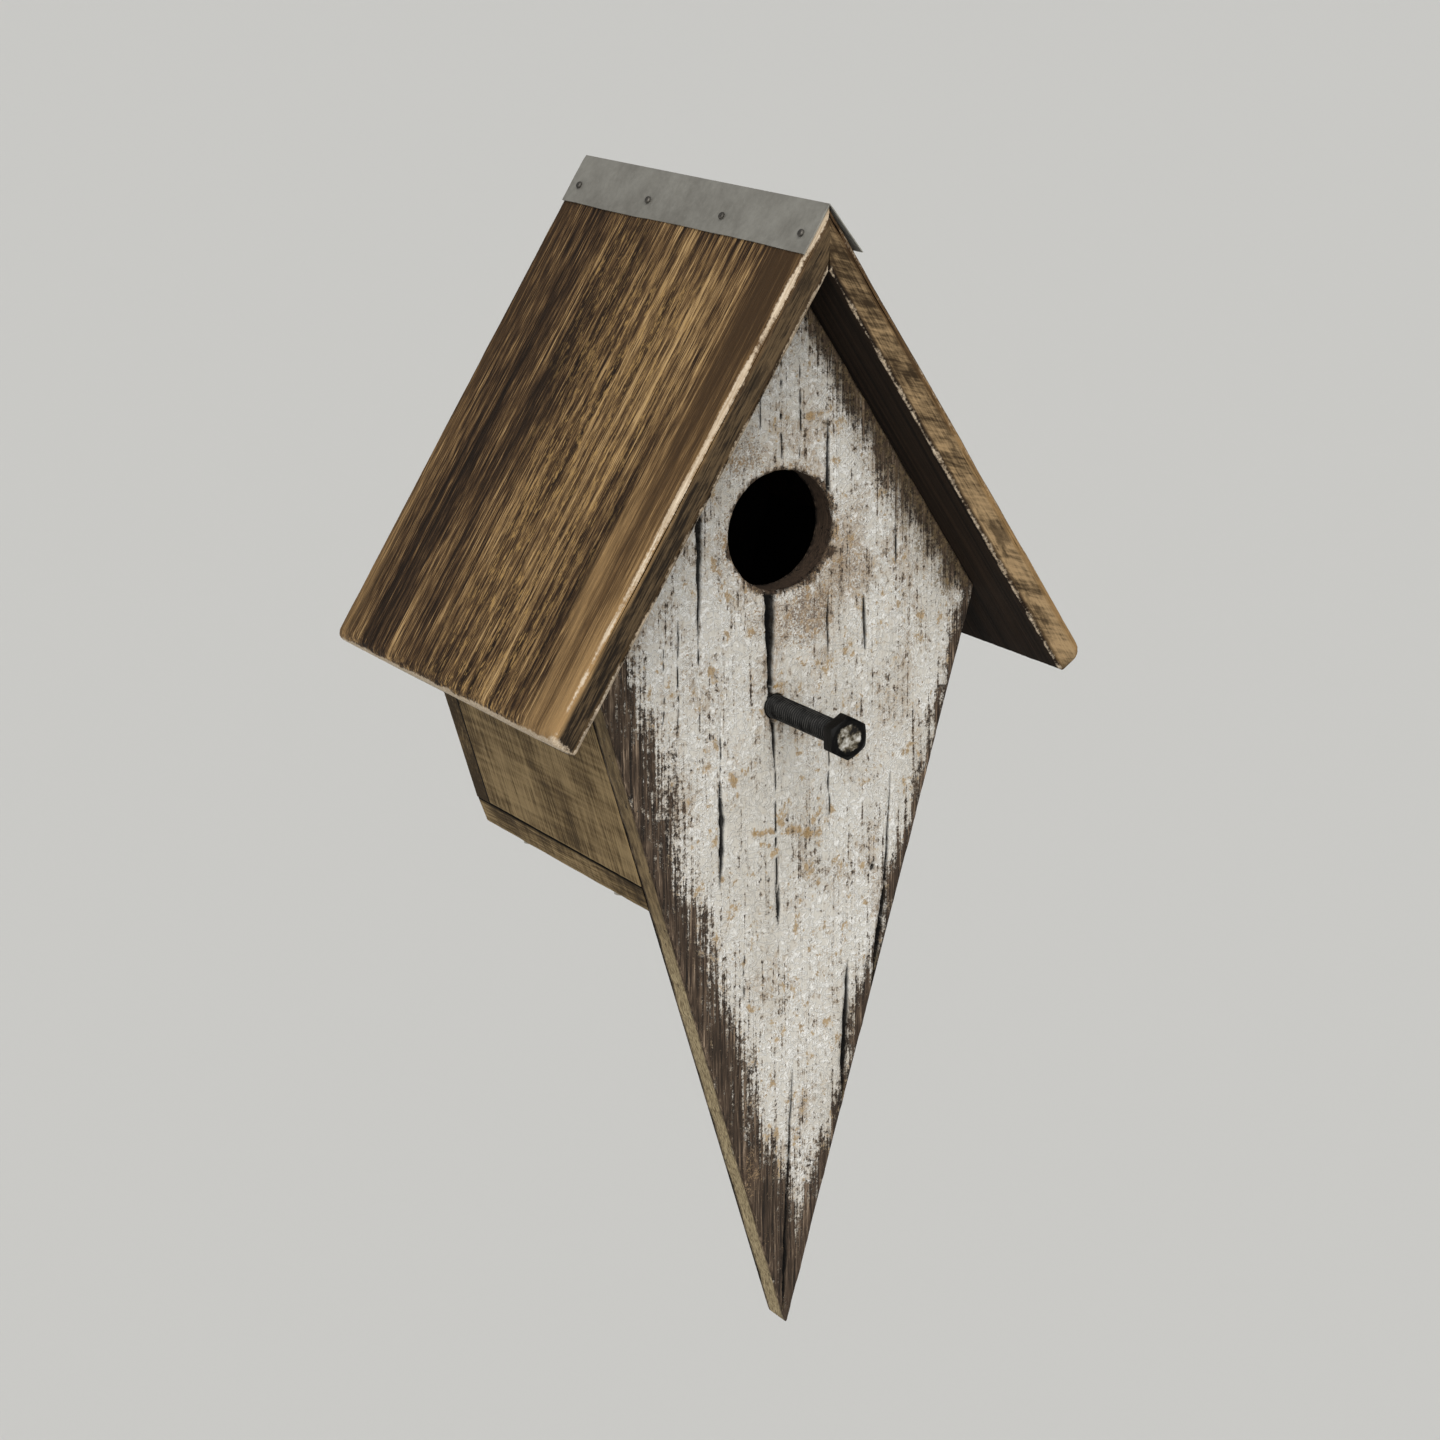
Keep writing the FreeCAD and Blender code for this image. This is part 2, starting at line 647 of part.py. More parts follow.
def build():
    """Makes every sub-part and returns them all; each one's Label names its node."""
    bolt = perch_bolt()
    front_brads = front_board_brads()
    back_nails = back_board_nails()
    bottom_screws = floor_screws()
    plate_screws = hanger_screws()
    parts = [bolt, perch_washer(), perch_nut(), front_brads, back_nails, bottom_screws]
    parts.append(plate_screws)
    roof_fixings = []
    cap_fixings = []
    for name, side in (("left", -1), ("right", 1)):
        brads = roof_brads(name, side)
        nails = ridge_cap_nails(name, side)
        roof_fixings.append(brads)
        cap_fixings.append(nails)
        blank = roof_board_blank(name, side)
        parts += [brads, nails, drilled(f"{name}_roof_board", blank, [brads, nails])]
        blank = side_board_blank(name, side)
        fixings = [front_brads, back_nails, bottom_screws]
        parts.append(drilled(f"{name}_side_board", blank, fixings))
    parts.append(drilled("ridge_cap", ridge_cap_blank(), cap_fixings))
    parts.append(drilled("front_board", front_board_blank(), [front_brads] + roof_fixings))
    back_fixings = [back_nails, plate_screws] + roof_fixings
    parts.append(drilled("back_board", back_board_blank(), back_fixings))
    parts.append(drilled("floor_board", floor_board_blank(), [front_brads, bottom_screws]))
    parts.append(drilled("keyhole_hanger", keyhole_hanger_blank(), [plate_screws]))
    return parts


def check(parts):
    """Stops if any object failed to recompute or any sub-part's shape is missing or broken."""
    for item in doc.Objects:
        if "Invalid" in item.State or "Error" in item.State:
            raise RuntimeError(f"{item.Name} failed: {item.State}")
    for item in parts:
        if item.Shape.isNull() or not item.Shape.isValid():
            raise RuntimeError(f"{item.Label} has no valid shape")


def export(parts):
    """Writes each sub-part to its own STEP file, named after its Label."""
    os.makedirs("parts", exist_ok=True)
    for item in parts:
        item.Shape.exportStep(f"parts/{item.Label}.step")
        box = item.Shape.BoundBox
        print(f"{item.Label}: {len(item.Shape.Solids)} solids, {item.Shape.Volume / 1000:.2f} cm3,"
              f" {box.XLength:.1f} x {box.YLength:.1f} x {box.ZLength:.1f} mm")


subparts = build()
doc.recompute()
check(subparts)
export(subparts)
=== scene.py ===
import json
import math

import bpy
import numpy as np
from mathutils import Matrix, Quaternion, Vector
from mathutils.geometry import delaunay_2d_cdt
from mathutils.kdtree import KDTree


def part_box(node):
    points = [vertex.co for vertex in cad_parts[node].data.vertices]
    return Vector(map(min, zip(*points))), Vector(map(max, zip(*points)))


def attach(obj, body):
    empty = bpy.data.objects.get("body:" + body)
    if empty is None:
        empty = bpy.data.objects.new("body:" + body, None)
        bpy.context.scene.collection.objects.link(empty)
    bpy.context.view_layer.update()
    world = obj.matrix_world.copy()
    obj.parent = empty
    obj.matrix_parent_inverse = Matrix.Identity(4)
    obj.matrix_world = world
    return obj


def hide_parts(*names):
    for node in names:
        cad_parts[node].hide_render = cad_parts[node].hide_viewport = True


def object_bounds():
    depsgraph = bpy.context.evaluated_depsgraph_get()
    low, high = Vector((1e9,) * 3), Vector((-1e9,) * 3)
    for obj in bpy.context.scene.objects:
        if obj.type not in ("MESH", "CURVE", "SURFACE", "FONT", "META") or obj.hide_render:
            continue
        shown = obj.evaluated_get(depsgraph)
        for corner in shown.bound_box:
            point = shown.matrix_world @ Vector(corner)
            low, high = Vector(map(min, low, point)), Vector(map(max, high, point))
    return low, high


# A weathered wall-hung birdhouse. The boards are built as worn solids: each has a slightly
# uneven outline, arrises worn to their own radius, raised grain and, on the painted front, open
# splits. Every board's mesh carries its own directions as attributes, so that one wood pattern
# runs along the grain of each board and across its sawn ends.
#
# Lengths are in metres. MM turns a size in millimetres into metres.

MM = 0.001

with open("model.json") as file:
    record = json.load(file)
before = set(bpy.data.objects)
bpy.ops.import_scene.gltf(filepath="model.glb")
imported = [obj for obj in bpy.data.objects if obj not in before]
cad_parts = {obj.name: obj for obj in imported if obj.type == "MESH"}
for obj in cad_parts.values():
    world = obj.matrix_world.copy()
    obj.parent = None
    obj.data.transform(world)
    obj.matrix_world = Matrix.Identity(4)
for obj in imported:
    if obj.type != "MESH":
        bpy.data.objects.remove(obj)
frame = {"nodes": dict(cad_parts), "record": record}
cad_low, cad_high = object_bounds()


# ---- repeatable noise


def lattice(ix, iy, seed):
    """A fixed pseudo-random number from -1 to 1 at each whole-numbered point."""
    h = (ix * 374761393 + iy * 668265263 + seed * 974711297) & 0xFFFFFFFF
    h = ((h ^ (h >> 13)) * 1274126177) & 0xFFFFFFFF
    return ((h ^ (h >> 16)) & 0xFFFF) / 32767.5 - 1.0


def noise(x, y, seed):
    """Smooth noise from -1 to 1 whose cells are one unit wide."""
    x, y = np.asarray(x, float), np.asarray(y, float)
    ix, iy = np.floor(x).astype(np.int64), np.floor(y).astype(np.int64)
    fx, fy = x - ix, y - iy
    sx, sy = fx * fx * (3 - 2 * fx), fy * fy * (3 - 2 * fy)
    low = lattice(ix, iy, seed) * (1 - sx) + lattice(ix + 1, iy, seed) * sx
    high = lattice(ix, iy + 1, seed) * (1 - sx) + lattice(ix + 1, iy + 1, seed) * sx
    return low * (1 - sy) + high * sy


def fbm(x, y, seed, octaves=3):
    """Noise with finer, weaker noise laid on it."""
    total, weight = 0.0, 1.0
    for octave in range(octaves):
        scale = 2.0**octave
        total = total + weight * noise(x * scale, y * scale, seed + 17 * octave)
        weight *= 0.5
    return total


def smoothstep(low, high, x):
    """0 at low, 1 at high, smooth between; low may be the higher one."""
    share = np.clip((x - low) / (high - low), 0.0, 1.0)
    return share * share * (3 - 2 * share)


def bell(x, middle, width):
    """1 at the middle, falling away smoothly on both sides."""
    return np.exp(-(((x - middle) / width) ** 2))


# ---- reading the frame


def axes_of(along, outward):
    """A board's directions as rows: across the grain, along it, and out of its outer face."""
    v, w = Vector(along).normalized(), Vector(outward).normalized()
    return np.array([v.cross(w), v, w])


def local_points(node, axes):
    """A CAD node's vertices in a board's own directions."""
    mesh = frame["nodes"][node].data
    co = np.empty(len(mesh.vertices) * 3)
    mesh.vertices.foreach_get("co", co)
    return co.reshape(-1, 3) @ axes.T


def face_span(node, axes, outer):
    """Lowest and highest (across, along) of the node's vertices on its outer or inner face."""
    points = local_points(node, axes)
    w = points[:, 2]
    edge = w.max() if outer else w.min()
    on_face = points[np.abs(w - edge) < 0.02 * MM]
    return on_face[:, :2].min(0), on_face[:, :2].max(0)


def main_normal(node):
    """The normal of a CAD node's largest triangle, which lies on one of its broad faces."""
    return max(frame["nodes"][node].data.polygons, key=lambda polygon: polygon.area).normal


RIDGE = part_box("right_roof_board")[1].z
roof_normal = main_normal("right_roof_board")
PITCH = math.atan2(abs(roof_normal.x), abs(roof_normal.z))
side_normal = main_normal("right_side_board")
TAPER = math.atan2(abs(side_normal.z), abs(side_normal.x))


# ---- board outlines


def rounded_loop(corners, rounds, step, ragged, seed):
    """A closed outline through anticlockwise corners, each rounded by its own radius, its sides
    cut to about step long and worn inwards by up to ragged."""
    ends = []
    for i, here in enumerate(corners):
        back, on = corners[i - 1] - here, corners[(i + 1) % len(corners)] - here
        back, on = back / np.linalg.norm(back), on / np.linalg.norm(on)
        reach = rounds[i] / math.tan(math.acos(np.clip(back @ on, -1, 1)) / 2)
        ends.append((here + back * reach, here, here + on * reach))
    points = []
    for i, (start, corner, stop) in enumerate(ends):
        for t in np.linspace(0, 1, 6):
            points.append((1 - t) ** 2 * start + 2 * t * (1 - t) * corner + t * t * stop)
        side = ends[(i + 1) % len(ends)][0] - stop
        pieces = max(2, int(np.linalg.norm(side) / step))
        points += [stop + side * k / pieces for k in range(1, pieces)]
    points = np.array(points)
    run = np.cumsum(np.linalg.norm(points - np.roll(points, 1, 0), axis=1))
    depth = ragged * (0.5 + 0.5 * fbm(run / (9 * MM), 0, seed))
    return points + inward(points) * np.clip(depth, 0, ragged)[:, None]


def inward(loop):
    """Unit normals that point into an anticlockwise loop."""
    along = np.roll(loop, -1, 0) - np.roll(loop, 1, 0)
    along /= np.linalg.norm(along, axis=1)[:, None]
    return np.stack([-along[:, 1], along[:, 0]], 1)


def circle_loop(centre, radius, count, ragged, seed):
    """A clockwise circle, so that inward() points out of the hole and into the wood."""
    turn = -np.linspace(0, 2 * math.pi, count, endpoint=False)
    r = radius + ragged * (0.5 + 0.5 * fbm(np.cos(turn) * 4 + 9, np.sin(turn) * 4 + 9, seed))
    return np.array(centre) + np.stack([np.cos(turn) * r, np.sin(turn) * r], 1)


def rectangle(low, high):
    """A rectangle's corners, anticlockwise."""
    return [(low[0], low[1]), (high[0], low[1]), (high[0], high[1]), (low[0], high[1])]


def stretch(axis, outer, inner):
    """A to_back function for board(): turns a span of the outer face along one axis, 0 across
    or 1 along the grain, into the inner face's span."""

    def to_back(points):
        moved = np.array(points)
        share = (points[:, axis] - outer[0]) / (outer[1] - outer[0])
        moved[:, axis] = inner[0] + share * (inner[1] - inner[0])
        return moved

    return to_back


def tree_of(points):
    """A search tree of flat points."""
    tree = KDTree(len(points))
    for i, p in enumerate(points):
        tree.insert((p[0], p[1], 0), i)
    tree.balance()
    return tree


def loop_distance(points, loops):
    """Each point's distance from the nearest loop."""
    joined = np.concatenate(loops)
    tree = tree_of(joined)
    nearest = np.array([tree.find((p[0], p[1], 0))[1] for p in points])
    a = joined[nearest]
    distance = np.full(len(points), 1.0)
    for neighbour in (1, -1):
        b = np.concatenate([np.roll(loop, neighbour, 0) for loop in loops])[nearest]
        ab = b - a
        t = np.clip(((points - a) * ab).sum(1) / np.maximum((ab * ab).sum(1), 1e-18), 0, 1)
        distance = np.minimum(distance, np.linalg.norm(points - a - ab * t[:, None], axis=1))
    return distance


def line_distance(points, a, b):
    """Distance to the left of the line from a to b."""
    a, b = np.array(a), np.array(b)
    along = (b - a) / np.linalg.norm(b - a)
    return (points[:, 1] - a[1]) * along[0] - (points[:, 0] - a[0]) * along[1]


def within(points, corners, holes, margin):
    """Which points lie inside a convex outline by more than a margin, and outside its holes."""
    inside = np.ones(len(points), bool)
    for i, corner in enumerate(corners):
        inside &= line_distance(points, corner, corners[(i + 1) % len(corners)]) > margin
    for loop in holes:
        centre = loop.mean(0)
        inside &= np.linalg.norm(points - centre, axis=1) > np.linalg.norm(loop[0] - centre)
    return inside


def round_drop(distance, radius):
    """How far a rounded arris lies under the flat face, at a distance in from its edge."""
    inside = np.clip(radius - distance, 0, radius)
    return radius - np.sqrt(np.maximum(radius * radius - inside * inside, 0))


# ---- board meshes


BANDS = (0.15, 0.4, 0.75, 1.15, 1.7, 2.4)  # rings of points in from an edge, in mm
BAND_GAP = 0.3  # from the last ring to the grid, and from a seam to an edge, in mm
WALL_ROWS = 6  # rows of faces down a board's sides


def face_mesh(loops, corners, spacing, seams=()):
    """Triangulates a face inside its loops: rings of points along the edges, a grid between them
    and, where given, seams of points, each with a width to clear. Returns its points, its
    triangles and the numbers of each loop's points."""
    rings = np.concatenate([loop + inward(loop) * b * MM for loop in loops for b in BANDS])
    wanted = np.concatenate([np.full(len(loop), b * MM) for loop in loops for b in BANDS])
    rings = rings[loop_distance(rings, loops) > 0.85 * wanted]
    low, high = loops[0].min(0), loops[0].max(0)
    us = np.arange(low[0], high[0], spacing[0])
    vs = np.arange(low[1], high[1], spacing[1])
    grid = np.stack(np.meshgrid(us, vs), -1).reshape(-1, 2)
    grid = grid[within(grid, corners, loops[1:], BANDS[-1] * MM)]
    grid = grid[loop_distance(grid, loops) > (BANDS[-1] + BAND_GAP) * MM]
    extra = []
    for line, clear in seams:
        tree = tree_of(line)
        close = ((grid > line.min(0) - clear) & (grid < line.max(0) + clear)).all(1)
        keep = np.ones(len(grid), bool)
        for i in np.nonzero(close)[0]:
            keep[i] = tree.find((grid[i, 0], grid[i, 1], 0))[2] > clear
        grid = grid[keep]
        apart = loop_distance(line, loops) > BAND_GAP * MM
        extra.append(line[apart & within(line, corners, loops[1:], BAND_GAP * MM)])
    points = np.concatenate([*loops, rings, grid, *extra])
    starts = np.cumsum([0] + [len(loop) for loop in loops])
    rims = [np.arange(start, stop) for start, stop in zip(starts[:-1], starts[1:])]
    edges = np.concatenate([np.stack([rim, np.roll(rim, -1)], 1) for rim in rims]).tolist()
    made = delaunay_2d_cdt([Vector(p) for p in points], edges, [], 1, 1e-7, True)
    flat = np.array([tuple(v) for v in made[0]])
    where = {origin: out for out, origins in enumerate(made[3]) for origin in origins}
    triangles = np.array([f for f in made[2] if len(f) == 3])
    middle = flat[triangles].mean(1)
    for loop in loops[1:]:
        centre = loop.mean(0)
        hole = np.linalg.norm(loop - centre, axis=1).min() * 0.995
        keep = np.linalg.norm(middle - centre, axis=1) > hole
        triangles, middle = triangles[keep], middle[keep]
    return flat, triangles, [np.array([where[i] for i in rim]) for rim in rims]


def make_mesh(name, points, faces, attributes, material):
    """A smooth-shaded piece from points, faces and per-point attributes."""
    mesh = bpy.data.meshes.new(name)
    mesh.from_pydata(points.tolist(), [], faces)
    for label, values in attributes.items():
        vector = values.ndim == 2
        layer = mesh.attributes.new(label, "FLOAT_VECTOR" if vector else "FLOAT", "POINT")
        layer.data.foreach_set("vector" if vector else "value", values.astype(np.float32).ravel())
    mesh.polygons.foreach_set("use_smooth", np.ones(len(mesh.polygons), bool))
    mesh.materials.append(material)
    mesh.validate()
    piece = bpy.data.objects.new(name, mesh)
    bpy.context.scene.collection.objects.link(piece)
    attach(piece, "root")
    return piece


def board(name, node, axes, corners, *, material, rounds, spacing, arris, relief, seed,
          big_rounds=(), to_back=lambda points: points, mitre=0, holes=(), seams=(), paint=None,
          ragged=0.25, back_spacing=(3.0, 6.0), back_arris=0.6):
    """Builds a worn board that stands for a CAD node.

    corners are the outer face's, anticlockwise in (across, along), and rounds their radii;
    to_back moves an outer point to the inner face where the ends aren't square; arris is the
    outer arris's radius, a number or a function of points; big_rounds lists (a, b, outer radius,
    inner radius) for sides that are cut round; holes lists (centre, radius, count of points);
    relief gives the depth of the grain and splits under the flat face; mitre keeps the board on
    one side of the middle, 1 for the right; paint returns more attributes of the board's points.
    Places are in metres. Every other size is in millimetres, and so are the points that arris,
    relief and paint are given."""
    w = local_points(node, axes)[:, 2]
    w_outer, w_inner = w.max(), w.min()
    corners = np.array(corners, float)
    loops = [rounded_loop(corners, np.array(rounds) * MM, 1.3 * MM, ragged * MM, seed)]
    for i, (centre, hole_radius, pieces) in enumerate(holes):
        loops.append(circle_loop(centre, hole_radius * MM, pieces, 0.25 * MM, seed + 5 + i))
    back_loops = [to_back(loop) for loop in loops]
    flat, triangles, rims = face_mesh(loops, corners, np.array(spacing) * MM, seams)
    back_flat, back_triangles, back_rims = face_mesh(
        back_loops, to_back(corners), np.array(back_spacing) * MM
    )

    def depth_at(points, near_loops, radius, inner):
        distance = loop_distance(points, near_loops)
        drop = round_drop(distance, radius)
        for a, b, outer_radius, inner_radius in big_rounds:
            ends = np.array([a, b], float)
            ends = to_back(ends) if inner else ends
            big = (inner_radius if inner else outer_radius) * MM
            drop = np.maximum(drop, round_drop(np.maximum(line_distance(points, *ends), 0), big))
        return drop, distance

    radius = arris(flat / MM) if callable(arris) else arris
    drop, distance = depth_at(flat, loops, radius * MM, False)
    front = np.column_stack([flat, w_outer - drop - relief(flat / MM) * MM])
    back_drop, back_distance = depth_at(back_flat, back_loops, back_arris * MM, True)
    grain = 0.08 * MM * (1 + fbm(back_flat[:, 0] / (1.5 * MM), back_flat[:, 1] / (30 * MM), seed))
    back = np.column_stack([back_flat, w_inner + back_drop + np.clip(grain, 0, 1)])

    faces = triangles.tolist() + (back_triangles[:, ::-1] + len(front)).tolist()
    walls = []
    count = len(front) + len(back)
    for outer_rim, inner_rim in zip(rims, back_rims):
        rows = [outer_rim]
        for row in range(1, WALL_ROWS):
            share = row / WALL_ROWS
            walls.append(front[outer_rim] * (1 - share) + back[inner_rim] * share)
            rows.append(np.arange(count, count + len(outer_rim)))
            count += len(outer_rim)
        rows.append(inner_rim + len(front))
        for upper, lower in zip(rows[:-1], rows[1:]):
            quads = [np.roll(upper, -1), upper, lower, np.roll(lower, -1)]
            faces += np.stack(quads, 1).tolist()
    wall = np.concatenate(walls)
    wall_distance = np.minimum(w_outer - wall[:, 2], wall[:, 2] - w_inner)
    points = np.concatenate([front, back, wall])
    sizes = [len(front), len(back), len(wall)]
    attributes = {
        "board": points,
        "edge": np.concatenate([distance, back_distance, wall_distance]),
        "side": np.repeat([0.0, 0.0, 1.0], sizes),
        # under marks each board's inner face; the roof and box materials paint it near black as
        # painted shade.
        "under": np.repeat([0.0, 1.0, 0.0], sizes),
    }
    attributes.update(paint(points / MM, w_outer / MM) if paint else {})
    placed = points @ axes
    if mitre:
        placed[:, 0] = mitre * np.maximum(mitre * placed[:, 0], 0)
    piece = make_mesh(name, placed, faces, attributes, material)
    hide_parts(node)
    return piece


# ---- material helpers


class Graph:
    """A material's node tree, with a short call for each kind of node that the looks use."""

    def __init__(self, name, specular=0.5):
        self.material = bpy.data.materials.new(name)
        self.material.use_nodes = True
        self.tree = self.material.node_tree
        self.shader = self.tree.nodes["Principled BSDF"]
        self.shader.inputs["Specular IOR Level"].default_value = specular

    def node(self, kind, inputs=None, **settings):
        """Adds a node; inputs maps socket names or numbers to values or to other sockets."""
        made = self.tree.nodes.new(kind)
        for key, setting in settings.items():
            setattr(made, key, setting)
        for key, given in (inputs or {}).items():
            self.give(made.inputs[key], given)
        return made

    def give(self, socket, given):
        """Sets a socket to a value or links it to another socket."""
        if isinstance(given, bpy.types.NodeSocket):
            self.tree.links.new(given, socket)
        else:
            socket.default_value = given

    def attribute(self, name, output="Fac"):
        return self.node("ShaderNodeAttribute", attribute_name=name).outputs[output]

    def axis(self, vector, letter):
        """One of a vector's three numbers."""
        return self.node("ShaderNodeSeparateXYZ", {0: vector}).outputs[letter]

    def math(self, operation, a, b=0.5, c=0.0):
        return self.node("ShaderNodeMath", {0: a, 1: b, 2: c}, operation=operation).outputs[0]

    def times(self, a, b):
        return self.math("MULTIPLY", a, b)

    def weigh(self, *terms):
        """The sum of (value, weight) terms."""
        total = 0.0
        for value, weight in terms:
            total = self.math("MULTIPLY_ADD", value, weight, total)
        return total

    def vary(self, value, *terms):
        """A value with (noise, amount) terms laid on it, each noise centred on nought."""
        for noise_value, amount in terms:
            value = self.math("MULTIPLY_ADD", self.math("SUBTRACT", noise_value), amount, value)
        return value

    def noise(self, vector, scale=1.0, detail=3.0, roughness=0.55, distortion=0.0):
        """Noise from 0 to 1. scale is in cells a metre, one number or one for each axis."""
        if isinstance(scale, tuple):
            inputs = {0: vector, 1: scale}
            vector = self.node("ShaderNodeVectorMath", inputs, operation="MULTIPLY").outputs[0]
            scale = 1.0
        inputs = {
            "Vector": vector, "Scale": scale, "Detail": detail,
            "Roughness": roughness, "Distortion": distortion,
        }
        return self.node("ShaderNodeTexNoise", inputs).outputs["Fac"]

    def ramp(self, factor, *stops):
        """A colour ramp; each stop is (place, colour)."""
        made = self.node("ShaderNodeValToRGB", {"Fac": factor})
        band = made.color_ramp
        while len(band.elements) < len(stops):
            band.elements.new(0.5)
        for element, (place, colour) in zip(band.elements, stops):
            element.position = place
            element.color = (*colour, 1.0)
        return made.outputs["Color"]

    def step(self, value, low, high):
        """0 at low and 1 at high, smooth between; low may be the higher one."""
        inputs = {"Value": value, "From Min": low, "From Max": high}
        made = self.node("ShaderNodeMapRange", inputs, interpolation_type="SMOOTHSTEP")
        return made.outputs["Result"]

    def mix(self, factor, a, b, share=1.0):
        """Colour a where factor is 0 and b, at most by its share, where it is 1."""
        factor = factor if share == 1.0 else self.times(factor, share)
        made = self.node("ShaderNodeMix", data_type="RGBA", blend_type="MIX")
        for index, given in ((0, factor), (6, a), (7, b)):
            self.give(made.inputs[index], (*given, 1.0) if isinstance(given, tuple) else given)
        return made.outputs[2]

    def bump(self, height, distance, strength, normal=None):
        inputs = {"Height": height, "Distance": distance, "Strength": strength}
        if normal is not None:
            inputs["Normal"] = normal
        return self.node("ShaderNodeBump", inputs).outputs["Normal"]

    def finish(self, colour, roughness, normal=None, metallic=0.0):
        """Sends the colour, roughness and bump to the material's shader."""
        self.give(self.shader.inputs["Base Color"], colour)
        self.give(self.shader.inputs["Roughness"], roughness)
        self.give(self.shader.inputs["Metallic"], metallic)
        if normal is not None:
            self.give(self.shader.inputs["Normal"], normal)
        return self.material


# ---- colours, as linear red, green and blue; a list of (place, colour) is a ramp's stops


UMBER = [
    (0, (0.010, 0.006, 0.0035)), (0.28, (0.034, 0.019, 0.010)), (0.52, (0.098, 0.056, 0.025)),
    (0.76, (0.225, 0.138, 0.060)), (1, (0.48, 0.32, 0.15)),
]
SMOOTH_UMBER = [(0, (0.055, 0.031, 0.014)), (0.5, (0.13, 0.075, 0.032)), (1, (0.33, 0.205, 0.09))]
GOLD_FLECK = (0.40, 0.25, 0.095)
# The roof boards' underside colour is near black: painted shade under the roof.
ROOF_UNDERSIDE_SHADE = [(0.35, (0.006, 0.0045, 0.0035)), (0.65, (0.026, 0.016, 0.010))]
RAW_WOOD = [(0.3, (0.33, 0.24, 0.15)), (0.7, (0.66, 0.56, 0.43))]
LEFT_STRIP = ((0.013, 0.0085, 0.005), (0.100, 0.066, 0.034))  # dark, light
RIGHT_STRIP = ((0.034, 0.021, 0.010), (0.33, 0.225, 0.118))

KHAKI = ((0.038, 0.024, 0.011), (0.135, 0.090, 0.041), (0.30, 0.215, 0.108))  # dark, mid, light
# Painted on the box's inner faces: near black, as painted shade inside the box.
BOX_INSIDE_SHADE = (0.004, 0.003, 0.0025)

BARE_WOOD = [
    (0, (0.010, 0.007, 0.005)), (0.45, (0.052, 0.034, 0.022)), (0.75, (0.110, 0.077, 0.052)),
    (1, (0.31, 0.23, 0.16)),
]
# The paint's whites; the lightest stop makes the painted highlights along the wrinkles.
WHITE = [(0.15, (0.52, 0.495, 0.445)), (0.45, (0.645, 0.63, 0.59)), (0.85, (0.76, 0.755, 0.735))]
CLOUD = (0.46, 0.43, 0.375)
GRIME = (0.32, 0.245, 0.17)
SPOT = (0.34, 0.23, 0.11)
THIN_PAINT = (0.27, 0.205, 0.14)
RUST = ((0.10, 0.062, 0.038), (0.30, 0.205, 0.115))  # dark, light
OCHRE = (0.32, 0.20, 0.075)
MOSS = ((0.045, 0.029, 0.016), (0.17, 0.120, 0.062))  # dark, light
EDGE_OF_KITE = [(0, (0.15, 0.11, 0.055)), (1, (0.46, 0.37, 0.22))]
EDGE_BY_BOX = [(0, (0.085, 0.057, 0.027)), (1, (0.25, 0.178, 0.09))]
HOLE_WALL = [(0.3, (0.022, 0.014, 0.009)), (0.7, (0.085, 0.055, 0.036))]
# Near black painted into the splits, as painted shade in them.
SPLIT_SHADE = (0.002, 0.002, 0.002)

BOLT_BLACK = [(0.35, (0.001, 0.001, 0.001)), (0.7, (0.004, 0.0038, 0.0035))]
BOLT_FLECKS = [
    (0.42, (0.012, 0.011, 0.010)), (0.50, (0.09, 0.075, 0.05)), (0.56, (0.26, 0.245, 0.21)),
    (0.68, (0.52, 0.51, 0.48)),
]
THREAD_CREST = (0.062, 0.060, 0.056)
PALE_FLOOR = (0.655, 0.655, 0.64, 1.0)


# ---- wood materials


def grain_noises(g, coords):
    """Three noises of a board: broad bands, fine streaks and short fibres along the grain."""
    drift = g.noise(coords, (9, 4, 9), detail=2)
    offset = g.node("ShaderNodeCombineXYZ", {"X": g.times(drift, 6 * MM)}).outputs[0]
    bent = g.node("ShaderNodeVectorMath", {0: coords, 1: offset}, operation="ADD").outputs[0]
    bands = g.noise(bent, (95, 2.6, 95), detail=2, roughness=0.5)
    streaks = g.noise(bent, (560, 10, 560), detail=5, roughness=0.70)
    fibres = g.noise(bent, (1700, 75, 1700), detail=3, roughness=0.70)
    return bands, streaks, fibres


def saw_bands(g, coords):
    """Slanting bands that a saw leaves across the edge of a board."""
    depth = g.axis(coords, "Z")
    slant = g.math("SUBTRACT", g.axis(coords, "Y"), g.times(depth, 1.15))
    line = g.node("ShaderNodeCombineXYZ", {"X": slant, "Y": g.times(depth, 0.3)}).outputs[0]
    broad = g.noise(line, 110, detail=2)
    fine = g.noise(line, 650, detail=2, roughness=0.6)
    return g.weigh((broad, 0.65), (fine, 0.35))


